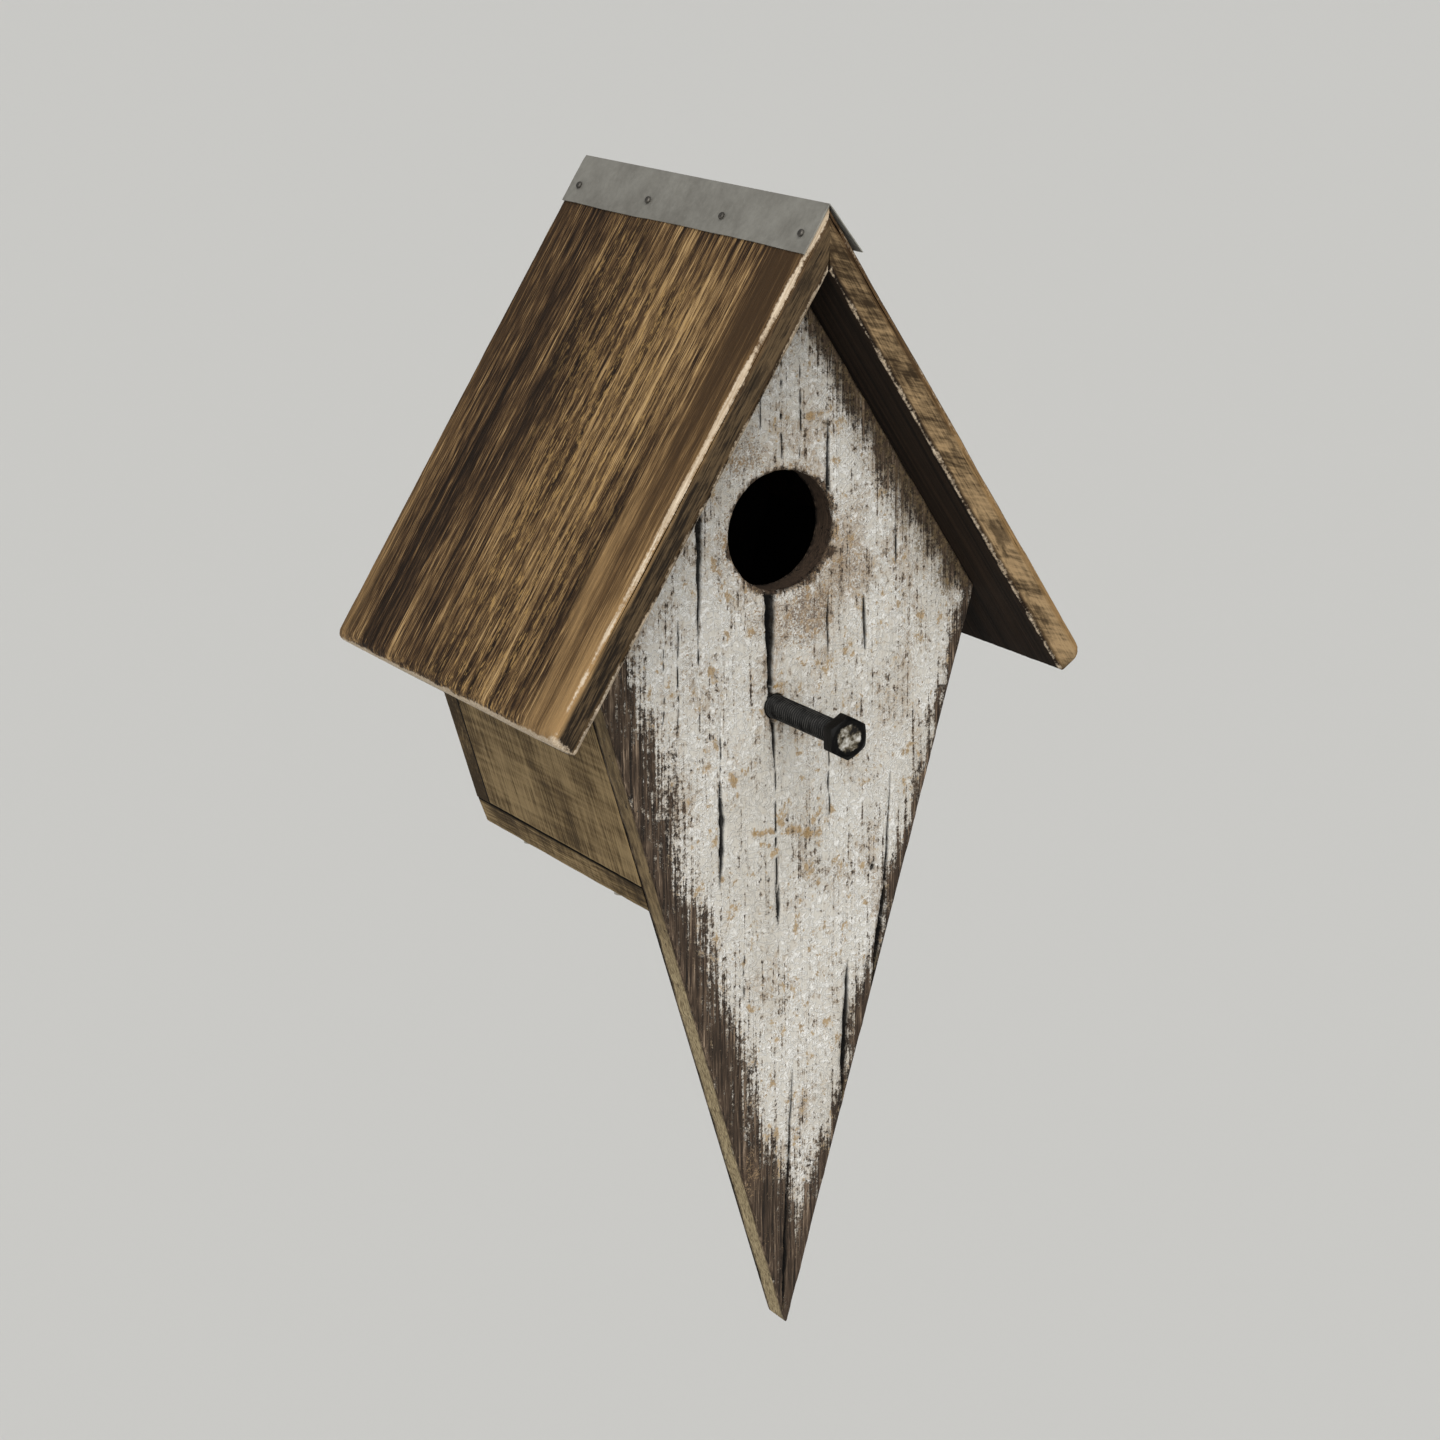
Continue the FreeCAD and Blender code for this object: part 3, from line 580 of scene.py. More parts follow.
def roof_material(name, strip, saw_share, eave_gain):
    """Dark umber stain over golden wood, rubbed pale on the arrises. strip has the dark and
    light colours of the sawn front end, saw_share is how much its saw marks show and eave_gain
    how much lighter it gets down to the eave."""
    g = Graph(name, specular=0.12)
    coords = g.attribute("board", "Vector")
    down_slope = g.axis(coords, "Y")
    gold, beneath = g.attribute("gold"), g.attribute("under")
    bands, streaks, fibres = grain_noises(g, coords)
    patches = g.noise(coords, (24, 9, 24), detail=2)
    mixed = g.weigh(
        (bands, 0.24), (streaks, 0.56), (fibres, 0.58), (patches, 0.24), (gold, 0.045)
    )
    stain = g.ramp(g.step(mixed, 0.67, 1.02), *UMBER)
    flecks = g.noise(coords, (1000, 190, 1000), detail=3, roughness=0.7)
    fleck_mask = g.times(g.step(flecks, 0.53, 0.64), g.step(gold, 0.05, 0.75))
    stain = g.mix(fleck_mask, stain, GOLD_FLECK, 0.75)

    tone = g.weigh((bands, 0.45), (streaks, 0.30), (fibres, 0.38), (down_slope, 1.7))
    smooth = g.ramp(g.step(tone, 0.505, 0.805), *SMOOTH_UMBER)
    colour = g.mix(g.attribute("smooth"), stain, smooth, 0.85)

    saw = saw_bands(g, coords)
    lower = g.math("SUBTRACT", down_slope, 45 * MM)
    marks = g.weigh((saw, saw_share), (fibres, 1 - saw_share), (lower, eave_gain))
    dark, light = strip
    end = g.ramp(g.step(marks, 0.40, 0.60), (0, dark), (1, light))
    grime = g.noise(coords, (180, 60, 180), detail=5, roughness=0.65)
    end = g.mix(g.step(grime, 0.50, 0.36), end, dark, 0.7)
    colour = g.mix(g.attribute("side"), colour, end)
    # The underside is painted near black, as painted shade under the roof.
    colour = g.mix(beneath, colour, g.ramp(streaks, *ROOF_UNDERSIDE_SHADE))

    speckle = g.noise(coords, 900, detail=3, roughness=0.7)
    rubbed = g.vary(g.attribute("worn"), (speckle, 1.3))
    colour = g.mix(g.step(rubbed, 0.30, 0.78), colour, g.ramp(fibres, *RAW_WOOD))
    normal = g.bump(g.weigh((streaks, 0.6), (fibres, 0.5)), 0.8 * MM, 0.8)
    return g.finish(colour, g.math("MULTIPLY_ADD", beneath, 0.35, 0.60), normal)


def box_colour(g, coords, saw_share):
    """Weathered khaki-brown softwood with cross saw marks: its colour and its bump."""
    dark, mid, light = KHAKI
    bands, streaks, fibres = grain_noises(g, coords)
    patches = g.noise(coords, 26, detail=3)
    saw = g.noise(coords, (30, 560, 30), detail=2, roughness=0.5)
    mixed = g.weigh(
        (bands, 0.15), (streaks, 0.30), (fibres, 0.54), (patches, 0.62), (saw, saw_share)
    )
    colour = g.ramp(g.step(mixed, 0.76, 1.08), (0, dark), (0.5, mid), (1, light))
    height = g.weigh((streaks, 0.5), (fibres, 0.5), (saw, 0.5))
    return colour, g.bump(height, 0.5 * MM, 0.7)


def box_material(name):
    """The box's wood on a board mesh: its arrises rubbed light by wear and painted lighter still
    against the shade in the joints, its inside painted near black as painted shade.
    """
    g = Graph(name, specular=0.15)
    coords = g.attribute("board", "Vector")
    colour, normal = box_colour(g, coords, saw_share=0.24)
    grime = g.noise(coords, 300, detail=4, roughness=0.7)
    # The arrises are rubbed pale by wear and lightened further, as painted light that offsets the
    # shade in the joints between the boards.
    rubbed = g.vary(g.step(g.attribute("edge"), 1.3 * MM, 0.2 * MM), (grime, 2.6))
    colour = g.mix(g.step(rubbed, 0.35, 1.1), colour, KHAKI[2], 0.55)
    # The inner faces are painted near black, as painted shade inside the box.
    colour = g.mix(g.attribute("under"), colour, BOX_INSIDE_SHADE)
    return g.finish(colour, 0.82, normal)


def back_material(name):
    """The same wood on the back board's own CAD mesh, whose grain is upright."""
    g = Graph(name, specular=0.15)
    place = g.node("ShaderNodeTexCoord").outputs["Object"]
    depth = g.axis(place, "Y")
    turned = {"X": g.axis(place, "X"), "Y": g.axis(place, "Z"), "Z": depth}
    coords = g.node("ShaderNodeCombineXYZ", turned).outputs[0]
    colour, normal = box_colour(g, coords, saw_share=0.10)
    inner_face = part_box("back_board")[0].y
    # The back board's inner face is painted near black, as painted shade inside the box.
    inside = g.step(depth, inner_face + 0.8 * MM, inner_face + 0.5 * MM)
    return g.finish(g.mix(inside, colour, BOX_INSIDE_SHADE), 0.82, normal)


def painted_material():
    """Wrinkled, worn white paint over dark brown wood, with rust and ochre stains and moss,
    painted highlights along the wrinkles and painted shade in the splits.
    """
    g = Graph("worn_white_paint", specular=0.28)
    coords = g.attribute("board", "Vector")
    _, streaks, fibres = grain_noises(g, coords)
    wood = g.ramp(g.step(g.weigh((streaks, 0.5), (fibres, 0.5)), 0.36, 0.66), *BARE_WOOD)
    fine = g.noise(coords, 1500, detail=3, roughness=0.65)
    specks = g.noise(coords, (420, 300, 420), detail=6, roughness=0.75)
    lines = g.noise(coords, (780, 22, 780), detail=4, roughness=0.70)
    blotches = g.noise(coords, (75, 40, 75), detail=5, roughness=0.62)
    folds = g.noise(coords, 380, detail=3, roughness=0.55, distortion=0.9)
    wrinkles_and_glints = g.step(g.math("ABSOLUTE", g.math("SUBTRACT", folds)), 0.075, 0.0)
    film = g.vary(
        g.attribute("cover"), (specks, 2.1), (lines, 2.0), (fine, 0.9), (blotches, 0.8)
    )
    paint_mask = g.step(film, 0.28, 0.64)

    # The wrinkle lines are painted lighter than the paint between them, as painted highlights on
    # their ridges.
    white = g.ramp(g.weigh((wrinkles_and_glints, 0.55), (fine, 0.45)), *WHITE)
    clouds = g.noise(coords, (34, 17, 34), detail=3, roughness=0.6)
    white = g.mix(g.step(clouds, 0.42, 0.64), white, CLOUD, 0.55)
    grime = g.weigh(
        (specks, 0.5), (blotches, 0.5), (wrinkles_and_glints, 0.03), (g.attribute("clean"), 0.04)
    )
    white = g.mix(g.step(grime, 0.53, 0.40), white, GRIME, 0.75)
    spots = g.noise(coords, (210, 150, 210), detail=5, roughness=0.7)
    white = g.mix(g.step(spots, 0.575, 0.65), white, SPOT, 0.85)
    white = g.mix(g.step(film, 0.86, 0.42), white, THIN_PAINT, 0.72)
    colour = g.mix(paint_mask, wood, white)

    rust = g.step(g.vary(g.attribute("rust"), (fine, 2.4), (specks, 1.4)), 0.32, 0.75)
    colour = g.mix(rust, colour, g.mix(g.step(specks, 0.42, 0.58), *RUST), 0.85)
    ochre = g.step(g.vary(g.attribute("ochre"), (specks, 2.6)), 0.35, 0.75)
    colour = g.mix(ochre, colour, OCHRE, 0.82)
    moss = g.step(g.vary(g.attribute("moss"), (specks, 2.2), (fine, 1.6)), 0.30, 0.70)
    colour = g.mix(moss, colour, g.mix(g.step(specks, 0.40, 0.60), *MOSS), 0.85)

    floor_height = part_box("floor_board")[0].z
    below_box = g.step(g.axis(coords, "Y"), floor_height + 12 * MM, floor_height - 25 * MM)
    edge = g.mix(
        below_box,
        g.ramp(g.step(streaks, 0.35, 0.65), *EDGE_BY_BOX),
        g.ramp(g.step(fibres, 0.35, 0.65), *EDGE_OF_KITE),
    )
    colour = g.mix(g.attribute("strip"), colour, edge)
    colour = g.mix(g.attribute("inner"), colour, g.ramp(fibres, *HOLE_WALL))
    colour = g.mix(g.attribute("under"), colour, wood)
    # The splits are painted near black, as painted shade inside them.
    split = g.attribute("split")
    colour = g.mix(split, colour, SPLIT_SHADE)

    normal = g.bump(g.weigh((streaks, 0.6), (fibres, 1.0)), 0.35 * MM, 0.6)
    normal = g.bump(g.times(wrinkles_and_glints, paint_mask), 0.26 * MM, 0.85, normal)
    normal = g.bump(paint_mask, 0.22 * MM, 0.9, normal)
    rough = g.math("MAXIMUM", g.math("MULTIPLY_ADD", paint_mask, -0.46, 0.88), split)
    return g.finish(colour, rough, normal)


# ---- metal materials


def metal_material(name, dark, light, roughness, scale, metallic=0.8):
    """Dull mottled metal: two tones in soft patches, with fine scratches."""
    g = Graph(name)
    place = g.node("ShaderNodeTexCoord").outputs["Object"]
    patches = g.noise(place, scale, detail=5, roughness=0.6)
    fine = g.noise(place, scale * 9, detail=4, roughness=0.7)
    scratch = g.noise(place, (900, 60, 900), detail=2)
    colour = g.ramp(g.weigh((patches, 0.7), (fine, 0.3)), (0.35, dark), (0.65, light))
    normal = g.bump(g.weigh((fine, 0.6), (scratch, 0.4)), 0.08 * MM, 0.5)
    return g.finish(colour, g.vary(roughness, (fine, 0.35)), normal, metallic)


def bolt_material():
    """Blackened steel whose head is worn and flecked with old paint in the middle."""
    g = Graph("blackened_bolt", specular=0.10)
    place = g.attribute("board", "Vector")
    fine = g.noise(place, 900, detail=4, roughness=0.65)
    blotch = g.noise(place, 300, detail=5, roughness=0.62)
    patch = g.step(g.vary(g.attribute("face"), (fine, 1.2)), 0.35, 0.65)
    colour = g.mix(patch, g.ramp(fine, *BOLT_BLACK), g.ramp(blotch, *BOLT_FLECKS))
    rubbed = g.times(g.attribute("crest"), g.step(blotch, 0.30, 0.62))
    colour = g.mix(rubbed, colour, THREAD_CREST)
    normal = g.bump(g.math("ADD", fine, blotch), 0.15 * MM, 0.5)
    return g.finish(colour, g.math("MULTIPLY_ADD", fine, 0.3, 0.20), normal)


# ---- roof


def grain_relief(seed, depth):
    """Raised grain: hard lines stand, soft wood between them is worn down by up to depth."""

    def relief(points):
        u, v = points[:, 0], points[:, 1]
        u = u + 3 * noise(u / 60, v / 160, seed + 3)
        fine = fbm(u / 1.6, v / 45, seed)
        broad = fbm(u / 9, v / 120, seed + 9, 2)
        return depth * np.clip(0.5 + 0.32 * fine + 0.18 * broad, 0, 1)

    return relief


def roof_board(name, side, material, eave_rounds, wear, seed):
    """One roof board. side is -1 on the left, and eave_rounds are the eave's outer and inner
    radii in mm. wear says how pale its front arris, its eave, its front lower corner and the
    inner arris of its front end are rubbed."""
    node = f"{name}_roof_board"
    c, s = math.cos(PITCH), math.sin(PITCH)
    axes = axes_of((side * c, 0, -s), (side * s, 0, c))
    points = local_points(node, axes)
    u0, u1, v1 = points[:, 0].min(), points[:, 0].max(), points[:, 1].max()
    v0 = face_span(node, axes, True)[0][1]
    inner_v0 = face_span(node, axes, False)[0][1]
    front_wear, eave_wear, corner_wear, inner_wear = wear
    front_edge, length = (u0 if side < 0 else u1) / MM, (u1 - u0) / MM
    ridge, eave = v0 / MM, v1 / MM

    def from_front(p):
        return np.abs(p[:, 0] - front_edge)

    def fade(v):
        """Wear along the front arris: broad from the cap down, thinner near the eave."""
        return 1 - 0.30 * smoothstep(eave - 75, eave - 30, v)

    def arris(p):
        wobble = 0.3 * fbm(p[:, 1] / 14, 0, seed + 2)
        return np.maximum(0.7, (1.9 * fade(p[:, 1]) + wobble) * smoothstep(6, 2, from_front(p)))

    def worn_at(p, depth, thick):
        """How much the stain is rubbed off each arris."""
        u, v = p[:, 0], p[:, 1]
        front, above = from_front(p), np.maximum(eave - v, 0)
        front_reach = 2.2 * fade(v) + 0.35 * fbm(v / 8, 0, seed + 6)
        eave_reach = 1.5 + (1 - front / length) + 0.35 * fbm(u / 7, 0, seed + 7)
        below = 0.12 * depth + 0.7 * np.maximum(depth - 4.5, 0)
        inner = np.hypot(front, thick - depth) + 0.5 * fbm(v / 5, 0, seed + 8)
        return np.maximum.reduce([
            front_wear * smoothstep(front_reach, 0.35 * front_reach, front + 0.8 * depth),
            eave_wear * smoothstep(eave_reach, 0.4 * eave_reach, above + below),
            corner_wear * smoothstep(5.5, 1.5, np.hypot(front, above) + 0.25 * depth),
            inner_wear * smoothstep(1.7, 0.3, inner),
            0.5 * smoothstep(1.2, 0.3, np.hypot(length - front, depth)),
        ])

    def gold_at(p):
        """Where the stain is thin and the wood shows golden, and, below nought, where it is
        thick; forward runs from the rear edge to the front, slope from the ridge to the eave."""
        forward, slope = 1 - from_front(p) / length, (p[:, 1] - ridge) / (eave - ridge)
        gold = bell(forward, 0.60, 0.20) * smoothstep(0.02, 0.35, slope)
        gold += 0.60 * bell(forward, 0.30, 0.10) * smoothstep(0.55, 0.15, slope)
        gold -= 0.10 * bell(forward, 0.36, 0.13) * smoothstep(0.50, 0.75, slope)
        gold -= 0.25 * bell(forward, 0.16, 0.12) * smoothstep(0.75, 0.35, slope)
        return gold

    def paint(p, w_outer):
        depth, front = w_outer - p[:, 2], from_front(p)
        band = smoothstep(26, 15, front + 5 * noise(p[:, 0] / 9, p[:, 1] / 40, seed + 4))
        return {
            "smooth": np.maximum(band, 0.45 * smoothstep(12, 4, length - front)),
            "worn": worn_at(p, depth, depth.max()),
            "gold": gold_at(p),
        }

    return board(
        f"{name}_roof", node, axes, rectangle((u0, v0), (u1, v1)), material=material,
        rounds=(0.6, 0.6, 1.5, 2.6) if side < 0 else (0.6, 0.6, 2.6, 1.5),
        spacing=(0.75, 3.0), arris=arris, relief=grain_relief(seed, 0.35), seed=seed,
        big_rounds=[((u1, v1), (u0, v1), *eave_rounds)], mitre=side, paint=paint,
        to_back=stretch(1, (v0, v1), (inner_v0, v1)),
    )


# ---- front board

# Splits in the painted board: millimetres right of the middle and below the ridge at the top and
# bottom, the width at the top, middle and bottom, the depth, and how broken up the split is.
SPLITS = [
    (-5.7, 126.5, -6, 164, 4.4, 3.3, 2.1, 3.6, 0),
    (-5, 170, -4, 187, 1.8, 1.5, 0.5, 2.4, 0),
    (-4, 188, -3.2, 243, 0.6, 0.9, 0.5, 1.4, 1),
    (16.2, 72.5, 16.4, 98, 0.4, 1.3, 1.5, 2.2, 0),
    (-32.3, 92, -33, 140, 1.8, 2.1, 0.4, 3, 0),
    (-33, 138, -33.1, 172, 0.3, 0.7, 0.3, 1.2, 0.9),
    (-24.7, 165, -25, 196, 0.3, 0.6, 0.6, 1.2, 0.7),
    (-24.9, 188, -25.2, 226, 0.5, 2.2, 0.3, 2.6, 0),
    (16.4, 131, 16.6, 152, 0.3, 0.9, 0.3, 1.6, 0.4),
    (16.8, 180, 17, 212, 0.3, 0.7, 0.3, 1.2, 1),
    (30.4, 134, 31.2, 152.5, 0.8, 1.5, 0.5, 2.2, 0.2),
    (43, 111, 43.2, 125, 0.3, 0.9, 0.3, 1.5, 0.5),
    (-16.4, 250, -16.6, 270, 0.3, 0.7, 0.3, 1.2, 1),
    (-2.6, 228, -3, 243, 0.4, 1.1, 0.4, 1.5, 0.3),
    (34.2, 227.6, 34.2, 229.9, 1.5, 1.9, 1.5, 2.5, 0),
    (41.5, 197, 39.4, 236, 0.3, 1, 1.6, 2.4, 0.2),
    (39.4, 236, 34.6, 273, 1.8, 2.4, 0.5, 3, 0),
    (24.6, 262, 22.6, 312, 1, 2.6, 0.5, 3, 0),
    (2.6, 296, 0.2, 340, 0.4, 1, 1.1, 2.2, 0.3),
    (0.2, 340, -1.2, 384, 1.4, 1.8, 0.8, 2.6, 0),
    (-1.5, 50, -1.3, 84, 0.5, 0.9, 0.5, 1.2, 0.8),
    (5.8, 52, 5.8, 85, 0.5, 0.8, 0.5, 1.2, 0.8),
    (-9.5, 58, -9.4, 80, 0.3, 0.6, 0.3, 0.9, 1),
    (-40.5, 132, -41, 170, 0.3, 0.6, 0.3, 0.9, 1),
    (-46, 140, -46.4, 168, 0.3, 0.5, 0.3, 0.8, 1),
]

# Stains of each kind: millimetres right of the middle and below the ridge, half width, half
# height, strength.
STAINS = {
    "ochre": [
        (9.8, 71.8, 2.6, 2.4, 0.8), (13, 71, 2.2, 1.6, 0.7), (-19.9, 190, 2.4, 3.6, 0.9),
        (-18.8, 195.5, 1.4, 2, 0.7), (-9.5, 209.5, 5.5, 1.7, 0.85), (1.5, 210.5, 6, 1.9, 0.8),
        (9.5, 213, 4.5, 2, 0.8), (13.5, 216.5, 2.5, 1.5, 0.65), (-30, 178, 2.2, 5.5, 0.5),
        (-31, 184, 4, 2.6, 0.55), (-38, 194, 3, 3, 0.45), (-1, 160, 3.2, 5, 0.6),
        (-9, 168, 4, 2.6, 0.5), (4, 178, 4, 6, 0.5), (10, 150.5, 1.8, 3.4, 0.52),
        (17.2, 249, 1.8, 2.6, 0.55), (11.5, 249.5, 1.4, 2.2, 0.5), (-5.5, 236, 1.6, 2.2, 0.5),
        (2.5, 249.5, 1.9, 2.2, 0.5), (4, 235.5, 4, 2, 0.5), (-4.5, 262, 2, 3, 0.42),
        (41.5, 188, 2.6, 6, 0.4), (-29, 110, 1.6, 6, 0.5),
    ],
    "rust": [
        (8, 137, 13, 13, 0.72), (24, 124, 10, 17, 0.48), (27, 104, 7, 12, 0.3),
        (-16, 82, 10, 9, 0.55), (-24.5, 112, 3.2, 15, 0.5), (-11, 136, 4.5, 9, 0.42),
        (-37, 150, 3, 16, 0.34), (8.5, 196, 2.4, 20, 0.42), (-14, 330, 5, 10, 0.45),
        (36, 240, 4, 14, 0.38),
    ],
    "moss": [
        (46, 104, 7, 12, 0.45), (56, 118, 7, 9, 0.55), (30, 74, 6, 14, 0.36),
        (63, 132, 6, 8, 0.55),
    ],
}
PERCH_HOLE = 4.2  # radius in mm of the hole round the perch bolt


def split_line(split, drop):
    """A split's middle line and width at each drop below the ridge, in millimetres."""
    top_x, top, bottom_x, bottom, w_top, w_mid, w_bottom, _, _ = split
    t = np.clip((drop - top) / (bottom - top), 0, 1)
    middle = top_x + (bottom_x - top_x) * t + 0.35 * noise(drop / 7, top_x, 41)
    width = w_top * (1 - t) * (1 - 2 * t) + w_mid * 4 * t * (1 - t) + w_bottom * t * (2 * t - 1)
    width = width * (1 + 0.25 * noise(drop / 2.6, top_x, 42))
    ends = np.minimum(smoothstep(0, 0.04, t), smoothstep(1, 0.96, t))
    return middle, np.maximum(width, 0.15) * (0.3 + 0.7 * ends)


def split_seams():
    """Points along both lips, both walls and the bottom of every split, for the mesh to follow."""
    seams = []
    for split in SPLITS:
        drop = np.arange(split[1], split[3], 0.9)
        middle, width = split_line(split, drop)
        half = width / 2
        rows = [middle + k for k in (-half - 0.12, -half + 0.1, 0 * half, half - 0.1, half + 0.12)]
        line = np.concatenate([np.column_stack([x * MM, RIDGE - drop * MM]) for x in rows])
        seams.append((line, 0.55 * MM))
    return seams


def split_depths_and_shade(x, drop):
    """How deep the splits are at each place of the front face, and how much painted shade darkens
    them.
    """
    depth, dark = np.zeros(len(x)), np.zeros(len(x))
    for split in SPLITS:
        top_x, top, bottom_x, bottom, _, _, _, deep, broken = split
        near = (drop > top) & (drop < bottom)
        near &= (x > min(top_x, bottom_x) - 4) & (x < max(top_x, bottom_x) + 4)
        if not near.any():
            continue
        middle, width = split_line(split, drop[near])
        into = width / 2 + 0.06 - np.abs(x[near] - middle)
        share = np.clip(into / np.minimum(width / 2, 0.3), 0, 1)
        gaps = smoothstep(-0.25, 0.35, noise(drop[near] / 2.2, top_x, 43))
        share = share * (1 - broken * gaps)
        depth[near] = np.maximum(depth[near], deep * share)
        dark[near] = np.maximum(dark[near], smoothstep(0.15, 0.6, share))
    return depth, dark


def stain_strength(kind, x, drop):
    """How strongly one kind of stain lies at each place."""
    total = np.zeros(len(x))
    for cx, cd, rx, ry, strength in STAINS[kind]:
        wobble = 1 + 0.35 * fbm(x / 3.5 + cx, drop / 3.5, 51)
        away = np.hypot((x - cx) / rx, (drop - cd) / ry) * wobble
        total = np.maximum(total, strength * smoothstep(1.35, 0.25, away))
    return total


def front_board():
    """The kite-shaped painted board, with its entrance hole, splits and worn edges. Places on
    its face are x right of the middle and drop below the ridge, in millimetres."""
    node = "front_board"
    axes = axes_of((0, 0, 1), (0, -1, 0))
    points = local_points(node, axes)
    half, top, bottom = points[:, 0].max(), points[:, 1].max(), points[:, 1].min()
    corner = points[np.argmax(points[:, 0]), 1]
    top_drop, corner_drop, tip_drop = ((RIDGE - v) / MM for v in (top, corner, bottom))
    hole = next(m for m in frame["record"]["mounts"] if m["name"] == "entrance_hole")
    hole_at = (hole["pos_m"][0], hole["pos_m"][2])
    hole_radius = hole["dims"]["r_mm"]
    perch_low, perch_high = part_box("perch_bolt")
    perch_at = ((perch_low.x + perch_high.x) / 2, (perch_low.z + perch_high.z) / 2)

    def distance_from(place, x, drop):
        return np.hypot(x - place[0] / MM, drop - (RIDGE - place[1]) / MM)

    def half_width(drop):
        """The kite's half width below its side corners."""
        return np.clip((tip_drop - drop) / (tip_drop - corner_drop), 0, 1) * half / MM

    def roof_gap(x, drop):
        """Distance under the roof boards."""
        return ((drop - top_drop) / math.tan(PITCH) - np.abs(x)) * math.sin(PITCH)

    def clean_at(drop):
        """The paint is cleaner and thicker low on the board than around the hole."""
        return smoothstep(140, 215, drop)

    def cover_at(x, drop):
        """Share of the wood that paint still covers."""
        edge = half_width(drop)
        wobble = 1.6 * fbm(drop / 9, 0, 65) + 1.2 * fbm(x / 2.2, drop / 14, 66)
        left = smoothstep(1, 25, x + edge + wobble)
        right = smoothstep(-1, 10, edge - x + wobble)
        tip = smoothstep(tip_drop - 10, tip_drop - 72, drop + 2 * wobble)
        low = np.minimum(left, right) * (0.15 + 0.85 * tip)
        roof_band = 11 + 4 * smoothstep(0, 20, x)
        under_roof = smoothstep(-3, roof_band, roof_gap(x, drop) + wobble)
        cover = np.where(drop > corner_drop, low, under_roof)
        meet = smoothstep(corner_drop - 12, corner_drop + 6, drop)
        cover = cover * (1 - meet) + np.minimum(cover, low) * meet
        from_rim = distance_from(hole_at, x, drop) - hole_radius
        rim = smoothstep(-0.5, 2.6, from_rim + 1.2 * fbm(x / 3, drop / 3, 67))
        thin = 0.06 * (1 + noise(x / 14, drop / 30, 68)) * (1.2 - 0.6 * clean_at(drop))
        return 0.04 + (0.93 - thin) * cover * (0.30 + 0.70 * rim)

    def moss_at(x, drop):
        """A darker band along the roof's edges, more of it on the right, and moss and dirt in
        patches.
        """
        reach = 8 + 8 * smoothstep(0, 30, x) * (1 + 0.5 * noise(x / 5, drop / 9, 69))
        roof_band = smoothstep(reach, 0.5, roof_gap(x, drop)) * (0.34 + 0.24 * (x > 0))
        return np.maximum(roof_band * (drop < corner_drop), stain_strength("moss", x, drop))

    def relief(p):
        x, y, drop = p[:, 0], p[:, 1], RIDGE / MM - p[:, 1]
        grain = 0.10 + 0.07 * fbm(x / 1.3, y / 26, 61)
        pits = 0.10 * smoothstep(0.25, 0.9, fbm(x / 3.2, y / 4.5, 63))
        bare = 0.14 * (1 - cover_at(x, drop))
        return np.clip(grain + pits + bare, 0, 0.6) + split_depths_and_shade(x, drop)[0]

    def paint(p, w_outer):
        x, drop, depth = p[:, 0], RIDGE / MM - p[:, 1], w_outer - p[:, 2]
        on_face = smoothstep(4, 3.2, depth)
        from_rim = distance_from(hole_at, x, drop) - hole_radius
        stained_rim = 0.45 * smoothstep(6.5, 0.5, from_rim + noise(x / 4, drop / 4, 70))
        near_hole = smoothstep(2, 0.6, from_rim)
        near_perch = smoothstep(5.5, 4.2, distance_from(perch_at, x, drop))
        in_hole = np.maximum(
            smoothstep(0.9, 1.8, depth) * near_hole, smoothstep(0.5, 1.2, depth) * near_perch
        )
        edge = smoothstep(1.2, 2, depth) * (1 - near_hole) * smoothstep(11.9, 11, depth)
        edge *= smoothstep(1.6, 0.8, half_width(drop) - np.abs(x)) * (drop > corner_drop - 2)
        return {
            "cover": cover_at(x, drop) * on_face,
            # split carries the splits' painted shade.
            "split": split_depths_and_shade(x, drop)[1] * (1 - in_hole) * smoothstep(5, 4, depth),
            "rust": np.maximum(stain_strength("rust", x, drop), stained_rim) * on_face,
            "ochre": stain_strength("ochre", x, drop) * on_face,
            "moss": moss_at(x, drop) * on_face,
            "clean": clean_at(drop),
            "strip": edge,
            "inner": in_hole,
        }

    corners = [(0, top), (-half, corner), (0, bottom - 1.2 * MM), (half, corner)]
    return board(
        "painted_front", node, axes, corners, material=painted_material(),
        rounds=(1.0, 1.2, 0.8, 1.2), spacing=(0.8, 1.3), arris=0.8,
        relief=relief, holes=[(hole_at, hole_radius, 150), (perch_at, PERCH_HOLE, 40)],
        seams=split_seams(), paint=paint, ragged=0.45, seed=71, back_spacing=(4.0, 4.0),
    )


# ---- box


def side_board(name, side, material, seed):
    """One tapered side board, cut to the roof's slope at the top and square at the floor."""
    node = f"{name}_side_board"
    c, s = math.cos(TAPER), math.sin(TAPER)
    axes = axes_of((-side * s, 0, -c), (side * c, 0, -s))
    low, high = face_span(node, axes, True)
    inner_low, inner_high = face_span(node, axes, False)
    return board(
        f"{name}_side", node, axes, rectangle(low, high), material=material,
        rounds=[0.4] * 4, spacing=(0.9, 2.4), arris=0.32, relief=grain_relief(seed, 0.16),
        to_back=stretch(1, (low[1], high[1]), (inner_low[1], inner_high[1])), ragged=0.06,
        seed=seed,
    )


